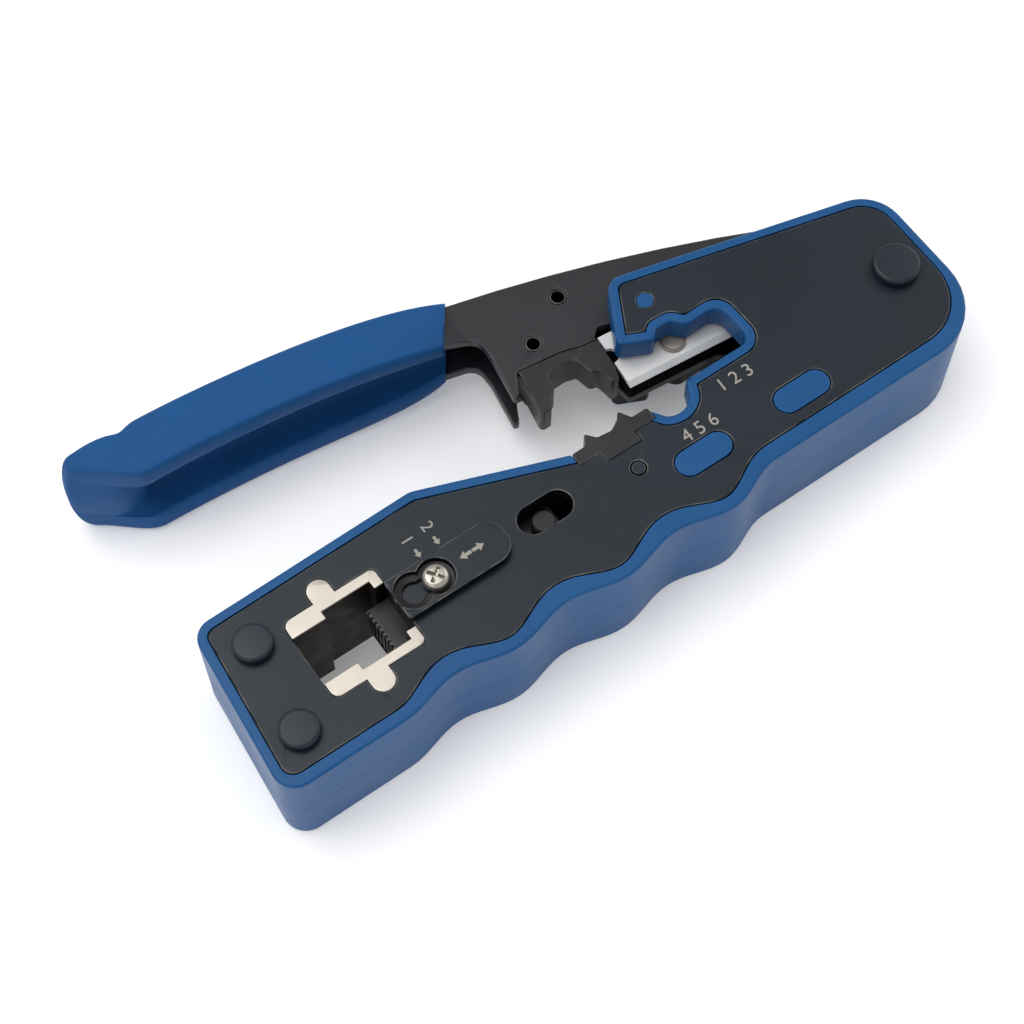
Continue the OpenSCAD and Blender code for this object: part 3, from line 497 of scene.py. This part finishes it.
def quarter(radius, height, r, start, steps=6):
    """Points of a quarter round of radius r about (radius, height), from the start angle in degrees."""
    a = np.radians(np.linspace(start, start + 90, steps))
    return np.stack([radius + r * np.cos(a), height + r * np.sin(a)], -1)


def rivet_profile(shank, head):
    """Half section of a rivet from the middle of its foot to the middle of its head."""
    foot = shank + 1
    return np.concatenate([
        [[0, 0.08], [foot - 0.5, 0.06], [foot - 0.25, 0]],
        quarter(foot - 0.15, 0.15, 0.15, -90, 4),
        [[foot, foot_high], [shank, foot_high], [shank, head_low], [head - 0.12, head_low]],
        [[head, head_low + 0.15]],
        quarter(head - head_edge, head_high - head_edge, head_edge, 0, 8),
        [[0, head_high]],
    ])


# Their edges are lightened partly as rubbed steel and partly as a painted highlight on the heads' rounds.
rivet_steel = dress(
    *finish_of("rivet_steel", paint(24, 31, 44), 0.38, Specular_IOR_Level=0.4),
    dark=paint(20, 27, 38), light=paint(29, 36, 47), wear_and_sheen=paint(125, 127, 130),
    rough=(0.34, 0.42), fine=3200, broad=120, relief=0.000008, radius=0.0004, reach=0.5,
)
fit(
    build("rivet_pivot", [turned(rivet_profile(2.6, 4.1), (0, 0))]),
    "body", "rivet_steel", rivet_steel, "pivot_rivet",
)
fit(
    build("rivets_nest", [turned(rivet_profile(2.0, 3.3), p) for p in ((-126, 3.6), (-127.7, -12.5))]),
    "body", "rivet_steel", rivet_steel, "nest_rivets",
)

# Frame pin
# A plain dowel pressed through the body beside the fixed die, with its ends ground flush.
# Its upper end is turned down, so that a dark gap shows round it.
frame_pin_profile = [
    [0, 0], [1.2, 0], [1.35, 0.15], [1.35, 19.8], [1.16, 20], [1.16, 20.9], [1.06, 21], [0, 21],
]
fit(
    build("pin_frame", [turned(frame_pin_profile, (-58.4, -5.7))]),
    "body", "rivet_steel", rivet_steel, "frame_pin",
)

# Plug nest
# A sintered alloy cage for the plug: two hooked arms, joined by a wall behind the latch notch.
# Its two faces are ground bright and stand flush with the cover plates. Its walls are coloured dark, a
# painted shade.
nest_alloy = dress(
    *finish_of("nest_alloy", paint(190, 182, 172), 0.4, Metallic=0.8),
    dark=paint(180, 172, 161), light=paint(204, 197, 187), wear_and_sheen=paint(226, 220, 210),
    rough=(0.36, 0.5), fine=4200, broad=300, relief=0.000008, radius=0.0002, reach=0.2,
)
# Painted shade: the nest's walls, below its two faces, are coloured dark brown
paint_shade_inside(nest_alloy, paint(46, 39, 33), (-112, -3.5, mid), (20, 20, 10.35))
fit(rounded_copy("plug_nest", "nest", 0.14, 2), "body", "nest_alloy", nest_alloy, "plug_nest")

# Fixed die
# A hardened steel bar with two spikes and an arch, set in the body's edge on a stem.
die_steel = dress(
    *finish_of("die_steel", paint(38, 38, 41), 0.36, Metallic=0.3),
    dark=paint(34, 34, 37), light=paint(48, 48, 52), wear_and_sheen=paint(120, 118, 114),
    rough=(0.3, 0.42), fine=3000, broad=200, relief=0.00001, radius=0.0003, reach=0.2,
)
fit(rounded_copy("fixed_die", "die_fixed", 0.16), "body", "die_steel", die_steel, "fixed_die")

# Pivot bush and return spring
# A drawn steel sleeve keeps the cheeks apart, and a torsion spring of round wire is wound round it.
# One leg of the spring bears on a post in the lower shell, and the other on the link's pin.
bright_steel = dress(
    *finish_of("bright_steel", paint(200, 195, 184), 0.28, Metallic=0.85),
    dark=paint(165, 160, 150), light=paint(188, 183, 172), wear_and_sheen=paint(220, 215, 205),
    rough=(0.22, 0.34), fine=3600, broad=260, relief=0.000005, radius=0.0002, reach=0.2,
)
fit(rounded_copy("pivot_bush", "bush", 0.12, 2), "body", "bright_steel", bright_steel, "pivot_bush")
wire_r, coil_r = 0.4, 4.1
spring_low, spring_high = 7.6, 13.4
spring_turns = 4
wire_sides, ring_count = 12, 160
post_place, post_r = np.array([-8.5, -10.5]), 1.5
link_pin_place, link_pin_r = np.array([-16.0, 10.0]), 1.6
short_leg, long_leg, leg_touch = 15, 20, 0.1


def leg_angle(place, radius, way):
    """Angle of the coil's tangent point from which a straight leg passes the inner side of a pin."""
    lean = math.acos((coil_r + wire_r + radius + leg_touch) / np.hypot(*place))
    return math.atan2(place[1], place[0]) + way * lean


def tube(path, radius, sides):
    """Round wire: circles square to a path that is never upright, at each of its points."""
    along = np.gradient(path, axis=0)
    along /= np.linalg.norm(along, axis=1, keepdims=True)
    across = np.cross(along, [0, 0, 1])
    across /= np.linalg.norm(across, axis=1, keepdims=True)
    up = np.cross(across, along)
    a = np.linspace(0, 2 * np.pi, sides, endpoint=False)[None, :, None]
    rings = path[:, None] + radius * (np.cos(a) * across[:, None] + np.sin(a) * up[:, None])
    ends = [np.concatenate([np.repeat(path[k:k + 1, None], sides, 1), rings[k:k + 1]]) for k in (0, -1)]
    return [surface(rings, wrap_v=True)] + [surface(e, wrap_v=True) for e in ends]


leg_from, leg_to = leg_angle(post_place, post_r, 1), leg_angle(link_pin_place, link_pin_r, -1)
turn = np.linspace(leg_from, leg_from + 2 * np.pi * spring_turns + leg_to - leg_from, ring_count)
coil = np.stack([
    coil_r * np.cos(turn), coil_r * np.sin(turn), np.linspace(spring_low, spring_high, ring_count)
], -1)
leg_steps = np.linspace(0, 1, 8)[:, None]
leg_in = coil[0] + short_leg * leg_steps[:0:-1] * [math.sin(leg_from), -math.cos(leg_from), 0]
leg_out = coil[-1] + long_leg * leg_steps[1:] * [-math.sin(leg_to), math.cos(leg_to), 0]
fit(
    build("spring", tube(np.concatenate([leg_in, coil, leg_out]), wire_r, wire_sides)),
    "body", "bright_steel", bright_steel, "return_spring",
)

# Ram and its tools
# A ground steel block slides behind the plug with a trim blade, a contact comb and a strain presser.
# A pin through its fork takes the link, and its two ends run in the slots of the shells.
for node, name, radius in (
    ("ram", "ram_block", 0.2), ("trim_blade", "trim_cutter", 0.05), ("contact_comb", "comb", 0.06),
    ("strain_presser", "presser", 0.12),
):
    fit(rounded_copy(node, name, radius, 2), "ram", "die_steel", die_steel, node)
ram_pin_profile = [[0, 3], [1.75, 3], [2, 3.25], [2, 17.75], [1.75, 18], [0, 18]]
fit(
    build("pin_ram", [turned(ram_pin_profile, (-75.6, -3.5))]),
    "ram", "die_steel", die_steel, "ram_pin",
)

# Drive link
# A flat steel bar bent round the inside of the body, with an eye at each end, pinned to the handle.
fit(rounded_copy("drive_link", "link_bar", 0.3), "link", "die_steel", die_steel, "drive_link")
link_pin_profile = [[0, 5], [1.4, 5], [1.6, 5.2], [1.6, 15.8], [1.4, 16], [0, 16]]
fit(
    build("pin_link", [turned(link_pin_profile, link_pin_place)]),
    "handle", "die_steel", die_steel, "link_pin",
)

# Selector
# A stamped slide on the upper plate, with two sunk seats for the screw that clamps it.
# It has the plates' dark coating, and the pan head screw is nickel plated with a cross recess.
# Painted shade: darker walls on the slide's sides and in its two seats
paint_shade_inside(plate_steel, paint(5, 6, 7), (-95, -3.5, 21.86), (20, 8, 0.72))
fit(
    rounded_copy("selector_plate", "selector_slide", 0.25), "selector", "plate_steel", plate_steel,
    "selector_plate",
)
screw_place, screw_r, shank_r = (-96.5, -3.5), 2.25, 1.25
screw_base, screw_top, screw_foot = 21.7, 23.3, 16.5
screw_round = 0.9
recess_depth, recess_reach, recess_half = 0.95, 1.45, 0.34
recess_turn = math.radians(35)


def screw_head(rows=40, cols=144):
    """Pan head as a height over polar coordinates, less a cross recess.

    The head is flat out to its rounded edge. The recess is the union of two bars with tapered walls:
    its depth falls with the larger of a point's distance across a bar and along it.
    """
    r = screw_r * np.sin(np.linspace(0, np.pi / 2, rows))[:, None]
    a = np.linspace(0, 2 * np.pi, cols, endpoint=False)[None, :]
    past = np.clip((r - (screw_r - screw_round)) / screw_round, 0, 1)
    top = screw_top - screw_round * (1 - np.sqrt(1 - past ** 2)) - 0.02 * r ** 2
    p, q = np.abs(r * np.cos(a - recess_turn)), np.abs(r * np.sin(a - recess_turn))
    one_bar = np.maximum(q - recess_half, p - recess_reach)
    other_bar = np.maximum(p - recess_half, q - recess_reach)
    in_bar = np.minimum(one_bar, other_bar)
    drop = recess_depth * np.clip(-in_bar / 0.16, 0, 1) * np.clip(1.25 - r / recess_reach * 0.7, 0, 1)
    x, y = screw_place[0] + r * np.cos(a), screw_place[1] + r * np.sin(a)
    return surface(np.stack([x, y, top - drop], -1), wrap_v=True)


screw_shank = [
    [screw_r, screw_top - screw_round - 0.1], [screw_r, screw_base + 0.1], [screw_r - 0.1, screw_base],
    [shank_r, screw_base], [shank_r, screw_foot + 0.3], [shank_r - 0.3, screw_foot], [0, screw_foot],
]
fit(
    build("screw", [screw_head(), turned(screw_shank, screw_place, 144)], 30),
    "selector_screw", "bright_steel", bright_steel, "selector_screw",
)

# Handle channel
# A channel pressed from steel sheet: two cheeks and a spine, bent to a small radius, black satin coated.
# The cheeks carry the pivot eye, the link's pin and the holes for the die's pins.
bend_r = 0.6
bend_end = -78
edge_share = 0.37


def channel_share(edge):
    """Share of the bend's radius on an edge: all of it along the spine, and little on the cut edges."""
    if len(edge.link_faces) != 2 or edge.calc_face_angle() < 0.55:
        return 0.0
    if min(v.co.x for v in edge.verts) < bend_end:
        return 0.0
    outer = [f for f in edge.link_faces if f.normal.y > 0.8 and f.calc_area() > 20]
    return 1.0 if outer and any(abs(f.normal.z) > 0.8 for f in edge.link_faces) else edge_share


# Its edges are lightened partly as rubbed coating and partly as a painted highlight along the cut edges.
handle_steel = dress(
    *finish_of("handle_steel", paint(34, 37, 42), 0.36),
    dark=paint(22, 25, 29), light=paint(32, 35, 40), wear_and_sheen=paint(140, 138, 134),
    rough=(0.34, 0.42), fine=2600, broad=60, relief=0.000012, radius=0.0003, reach=0.18,
)
# Painted shade: darker walls between the cheeks, under the blade
paint_shade_inside(handle_steel, paint(9, 9, 11), (-36, 12, 9.85), (13, 9, 4.55))
fit(
    rounded_copy("handle_channel", "handle_bar", bend_r, 4, channel_share),
    "handle", "handle_steel", handle_steel, "handle_channel",
)

# Grip
# A soft blue vinyl skin, made by dipping the hot channel, thick over the tip and rolled over the
# sheet's cut edges. It is a trough with wide, flat cheeks, a fat lip along both and a closed nose.
grip_mouth, grip_tip, tip_y = -64.7, -135.7, 47.5
hollow_tip, hollow_round = -131.5, 12.0
nose_round, nose_rise = 3.2, 12.5
mouth_slant = 5.0
wall_t = 3.5
lip_bulge, nose_bulge = 0.7, 0.8
outer_corner, inner_corner = 1.1, 2.0
cheek_points, round_points, back_points, lip_points = 10, 7, 9, 11


def spine(x):
    """Outer edge of the channel: an arc of radius 295 whose highest point is at the tip."""
    return 48.6 - 295 + np.sqrt(295 ** 2 - (x + 134.7) ** 2)


def close(t, power):
    """Rounded end: 1 up to t = 0, and down to 0 at t = 1 as the root of 1 - t to a power."""
    return np.sqrt(np.clip(1 - np.clip(t, 0, 1) ** power, 0, 1))


def bell(x, middle, width):
    """Smooth bump of height 1: e to the power of minus the squared distance from its middle in widths."""
    return np.exp(-((x - middle) / width) ** 2)


# Stations from the mouth to the tip, closer together where the nose closes
quarter_turn = np.sin(np.linspace(0, np.pi / 2, 20))[1:]
station = np.concatenate([
    np.linspace(grip_mouth, grip_tip + nose_round, 110),
    grip_tip + nose_round * (1 - quarter_turn),
])[:, None]
# Half width: it swells behind the mouth by 4.1 (1 - e^(-d / 9)) at a distance d, and closes at the tip
nose_end = close((grip_tip + nose_round - station) / nose_round, 2.4)
swell = 1 - np.exp((station - grip_mouth) / 9)
half_wide = (6.1 + 4.1 * swell) * nose_end
# Back: it follows the spine with a growing coat, a hollow before the nose and a swell on it
coat = 0.6 + 0.55 * np.clip((-70 - station) / 45, 0, 1)
back_y = spine(station) + coat + 0.3 * bell(station, -129.5, 3) - 0.7 * bell(station, -123.8, 1.7)
back_y = tip_y + (back_y - tip_y) * nose_end
# Lip: it follows the spine a sheet's width below, higher at the mouth, and rises smoothly under the nose
lip_y = spine(station) - 8.4 + 2.0 * np.exp((station - grip_mouth) / 9)
under_nose = np.clip((grip_tip + nose_rise - station) / nose_rise, 0, 1)
lip_y = tip_y - (tip_y - lip_y) * (1 - under_nose ** 2 * (3 - 2 * under_nose)) * nose_end
# Filling: none in the hollow and all of it in the nose, where the inner skin is the nose's under side
ramp = np.clip((hollow_tip + hollow_round - station) / hollow_round, 0, 1)
filling = ramp ** 2 * (3 - 2 * ramp)
inner_half = (2.9 + 2.7 * swell) * nose_end
inner_lip = lip_y - lip_bulge * filling * nose_end
inner_back = inner_lip + (back_y - wall_t - inner_lip) * (1 - filling)


def slanted(across, height):
    """Points [x, y, z] of sections given across and up: near the mouth, x moves back with the depth."""
    deep = np.clip((back_y - height) / np.maximum(back_y - lip_y, 0.01), 0, 1.12)
    near = np.clip((station - grip_tip) / (grip_mouth - grip_tip), 0, 1) ** 3
    return np.stack([station - mouth_slant * near * deep, height, mid + across], -1)


def trough(half, back, lip, corner_r, sag=0.0):
    """Sections from one lip over the back to the other: crowned cheeks and back, and round corners.

    They hang down by sag in the middle, as 1 - (across / half) squared.
    """
    corner = np.minimum(np.minimum(corner_r, 0.85 * half), 0.6 * (back - lip))
    run = np.linspace(0, 1, cheek_points)[None, :-1]
    bow = np.radians(np.linspace(0, 90, round_points))[None, :]
    flat = np.linspace(0, 1, back_points)[None, 1:-1]
    crown = np.clip(half / 9, 0, 1) * np.clip((back - lip) / 6, 0, 1)
    cheek = (half + 0.25 * crown * np.sin(np.pi * run), lip + run * (back - corner - lip))
    bend = (half - corner * (1 - np.cos(bow)), back - corner * (1 - np.sin(bow)))
    top = ((half - corner) * (1 - 2 * flat), back + 0.3 * crown * np.sin(np.pi * flat))
    across = [cheek[0], bend[0], top[0], -bend[0][:, ::-1], -cheek[0][:, ::-1]]
    height = [cheek[1], bend[1], top[1], bend[1][:, ::-1], cheek[1][:, ::-1]]
    across, height = np.concatenate(across, 1), np.concatenate(height, 1)
    return slanted(across, height - sag * (1 - np.clip(across / np.maximum(half, 0.01), -1, 1) ** 2))


def rolled_lip():
    """Lip of one cheek from the outer to the inner skin: a half ellipse, half filled in the nose."""
    phi = np.linspace(0, np.pi, lip_points)[None, 1:-1]
    across = (half_wide + inner_half) / 2 + (half_wide - inner_half) / 2 * np.cos(phi)
    hang = np.where(phi < np.pi / 2, np.sin(phi), np.sin(phi) * (1 - filling) + filling)
    return slanted(across, lip_y - lip_bulge * nose_end * hang)


outer_skin = trough(half_wide, back_y, lip_y, outer_corner)
inner_skin = trough(inner_half, inner_back, inner_lip, inner_corner, nose_bulge * filling * nose_end)
upper_lip = rolled_lip()
lower_lip = upper_lip * [1, 1, -1] + [0, 0, 2 * mid]
ring = np.concatenate([outer_skin, lower_lip, inner_skin[:, ::-1], upper_lip[:, ::-1]], 1)
mouth_faces = [surface(np.stack([outer_skin[0], inner_skin[0]]))]
for lip, k in ((upper_lip, 0), (lower_lip, -1)):
    lip_end = np.concatenate([outer_skin[:1, k], lip[0], inner_skin[:1, k]])
    mouth_faces.append((lip_end, [np.arange(len(lip_end))]))
grip_vinyl = dress(
    *finish_of("grip_vinyl", paint(15, 63, 107), 0.65, Specular_IOR_Level=0.25),
    dark=paint(16, 68, 117), light=paint(25, 83, 139), wear_and_sheen=paint(46, 103, 160),
    rough=(0.6, 0.75), fine=1100, broad=140, relief=0.00004, radius=0.0004, reach=0.4,
)
fit(
    build("grip_skin", [surface(ring, wrap_v=True)] + mouth_faces, 60),
    "handle", "grip_vinyl", grip_vinyl, "grip",
)

# Moving die and its pins
# A sintered steel jaw, flush with the upper cheek, on a tongue between the cheeks with two hollow pins.
# Painted shade: darker walls on all of the jaw below its face
paint_shade_inside(die_steel, paint(9, 9, 11), (-54, 22, 9.8), (16, 16, 5.9))
fit(rounded_copy("moving_die", "die_moving", 0.2), "handle", "die_steel", die_steel, "moving_die")
die_pin_profile = [
    [1.15, 5], [1.4, 5], [1.5, 5.1], [1.5, 15.9], [1.44, 16], [1.3, 16.04], [1.18, 15.98], [1.15, 15.9],
    [1.15, 5],
]
fit(
    build("pins_die", [turned(die_pin_profile, p) for p in ((-48.3, 30.7), (-57.1, 25.5))]),
    "handle", "die_steel", die_steel, "die_pins",
)

# Blade
# A bright ground strip of tool steel with one bevelled edge and a round notch in each end.
# It lies on a holder between the cheeks and is held by one rivet.
edge_start, edge_end = np.array([-48.3, 9.7]), np.array([-27.4, 7.8])
blade_low, blade_high, blade_wide, grind_wide = 14.6, 15.4, 10.8, 1.0
notch_r, notch_up = 1.5, 6.7
blade_along = (edge_end - edge_start) / np.hypot(*(edge_end - edge_start))
blade_up = np.array([-blade_along[1], blade_along[0]])
blade_long = np.hypot(*(edge_end - edge_start))
notch_angle = np.radians(np.linspace(-90, 90, 13))


def blade_loop(grind):
    """Outline of the blade, [along, up] from the start of its edge, with the edge moved up by grind."""
    notch = np.stack([notch_r * np.cos(notch_angle), notch_up + notch_r * np.sin(notch_angle)], -1)
    right = [blade_long, 0] + notch * [-1, 1]
    loop = np.concatenate([
        [[0, grind], [blade_long, grind]], right,
        [[blade_long, blade_wide], [0, blade_wide]], notch[::-1],
    ])
    return edge_start + loop[:, :1] * blade_along + loop[:, 1:] * blade_up


def flat_loop(loop, height):
    """A plan outline at one height, as [x, y, z]."""
    return np.concatenate([loop, np.full((len(loop), 1), height)], 1)


blade_levels = np.stack([
    flat_loop(blade_loop(0.0), blade_low), flat_loop(blade_loop(0.0), blade_low + 0.06),
    flat_loop(blade_loop(grind_wide), blade_high),
])
loop_count = blade_levels.shape[1]
blade_faces = [(level, [np.arange(loop_count)]) for level in (blade_levels[0], blade_levels[-1])]
blade_steel = dress(
    *finish_of("blade_steel", paint(225, 226, 227), 0.42, Metallic=0.3),
    dark=paint(212, 213, 213), light=paint(228, 229, 228), wear_and_sheen=paint(246, 246, 245),
    rough=(0.38, 0.48), fine=2600, broad=220, relief=0.000003, radius=0.0001, reach=0.3,
)
fit(
    build("blade_strip", [surface(blade_levels, wrap_v=True)] + blade_faces, 20),
    "handle", "blade_steel", blade_steel, "blade",
)
# Painted shade: the holder under the blade is coloured near black and hardly reflects, as it lies in shade.
seat_painted_shade = dress(
    *finish_of("seat_painted_shade", paint(10, 10, 12), 0.85, Specular_IOR_Level=0.05),
    dark=paint(8, 8, 10), light=paint(13, 13, 15), wear_and_sheen=paint(24, 24, 26),
    rough=(0.8, 0.9), fine=2600, broad=200, relief=0.000004, radius=0.0001, reach=0.3,
)
fit(
    rounded_copy("blade_holder", "blade_seat", 0.2),
    "handle", "handle_steel", seat_painted_shade, "blade_holder",
)
stud_steel = dress(
    *finish_of("stud_steel", paint(150, 143, 133), 0.4, Metallic=0.5),
    dark=paint(132, 125, 116), light=paint(164, 157, 147), wear_and_sheen=paint(210, 205, 196),
    rough=(0.36, 0.5), fine=2600, broad=400, relief=0.000004, radius=0.0001, reach=0.4,
)
blade_rivet_profile = [
    [0, 5], [1.2, 5], [1.2, 15.4], [2.2, 15.4], [2.3, 15.5], [2.3, 15.78], [2.22, 15.88], [2.1, 15.9],
    [2.02, 15.6], [1.9, 15.58], [1.82, 15.86], [1.7, 15.88], [0, 15.86],
]
fit(
    build("blade_stud", [turned(blade_rivet_profile, (-37.3, 12.6))]),
    "handle", "blade_steel", stud_steel, "blade_rivet",
)

# Printed marks
# Plain numbers and arrows in a thin warm grey ink, pad printed on the upper plate and on the slide.
mark_ink = dress(
    *finish_of("mark_ink", paint(150, 145, 135), 0.6),
    dark=paint(140, 135, 126), light=paint(162, 157, 148), wear_and_sheen=paint(150, 145, 135),
    rough=(0.55, 0.7), fine=2600, broad=500, relief=0.000004, radius=0.0001, reach=0.5,
)
ink_low, ink_high = 21.0, 21.03


def printed(name, marks):
    """Flat figures as one mesh: marks are (text, x, y, size, turn in degrees, height of the under side)."""
    parts = []
    for text, x, y, size, turn_by, low in marks:
        curve = bpy.data.curves.new(name, "FONT")
        curve.body = text
        curve.size = size
        curve.align_x, curve.align_y = "CENTER", "CENTER"
        curve.extrude = (ink_high - ink_low) / 2
        curve.resolution_u = 4
        writing = bpy.data.objects.new(name, curve)
        mesh = writing.to_mesh()
        flat = np.empty(len(mesh.vertices) * 3)
        mesh.vertices.foreach_get("co", flat)
        c, s = math.cos(math.radians(turn_by)), math.sin(math.radians(turn_by))
        placed = flat.reshape(-1, 3) @ np.array([[c, s, 0], [-s, c, 0], [0, 0, 1]])
        placed += [x, y, low + (ink_high - ink_low) / 2]
        parts.append((placed, [list(p.vertices) for p in mesh.polygons]))
        writing.to_mesh_clear()
        bpy.data.objects.remove(writing)
    return parts


def ragged(parts):
    """Splits parts whose faces differ in their number of corners, so that each can be an array."""
    split = []
    for corners, faces in parts:
        for count in sorted({len(f) for f in faces}):
            split.append((corners, np.array([f for f in faces if len(f) == count])))
    return split


def arrow(x, y, length, turn_by, low):
    """Flat arrow along its turn: a bar and a triangular head, as a slab of the ink's thickness."""
    outline = np.array([
        [-0.5, -0.14], [0.0, -0.14], [0.0, -0.36], [0.5, 0.0], [0.0, 0.36], [0.0, 0.14], [-0.5, 0.14]
    ]) * length
    c, s = math.cos(math.radians(turn_by)), math.sin(math.radians(turn_by))
    outline = outline @ np.array([[c, s], [-s, c]]) + [x, y]
    levels = np.stack([flat_loop(outline, low), flat_loop(outline, low + ink_high - ink_low)])
    return [surface(levels, wrap_v=True)] + [(level, [np.arange(7)]) for level in levels]


body_marks = ragged(printed("numbers", [
    ("1 2 3", -35.4, -1.4, 3.4, -2, ink_low), ("4 5 6", -45.8, -5.6, 3.4, 0, ink_low),
    ("1", -96.4, 5.0, 3.0, -90, ink_low), ("2", -92.4, 5.2, 3.0, -90, ink_low),
]))
body_marks += arrow(-96.2, 2.1, 1.7, -90, ink_low) + arrow(-92.5, 2.3, 1.7, -90, ink_low)
fit(build("marks_plate", body_marks), "body", "plate_steel", mark_ink)
slide_low = 22.85
slide_marks = arrow(-88.2, -3.2, 2.2, 0, slide_low) + arrow(-90.6, -3.2, 2.2, 180, slide_low)
fit(build("marks_slide", slide_marks), "selector", "plate_steel", mark_ink)
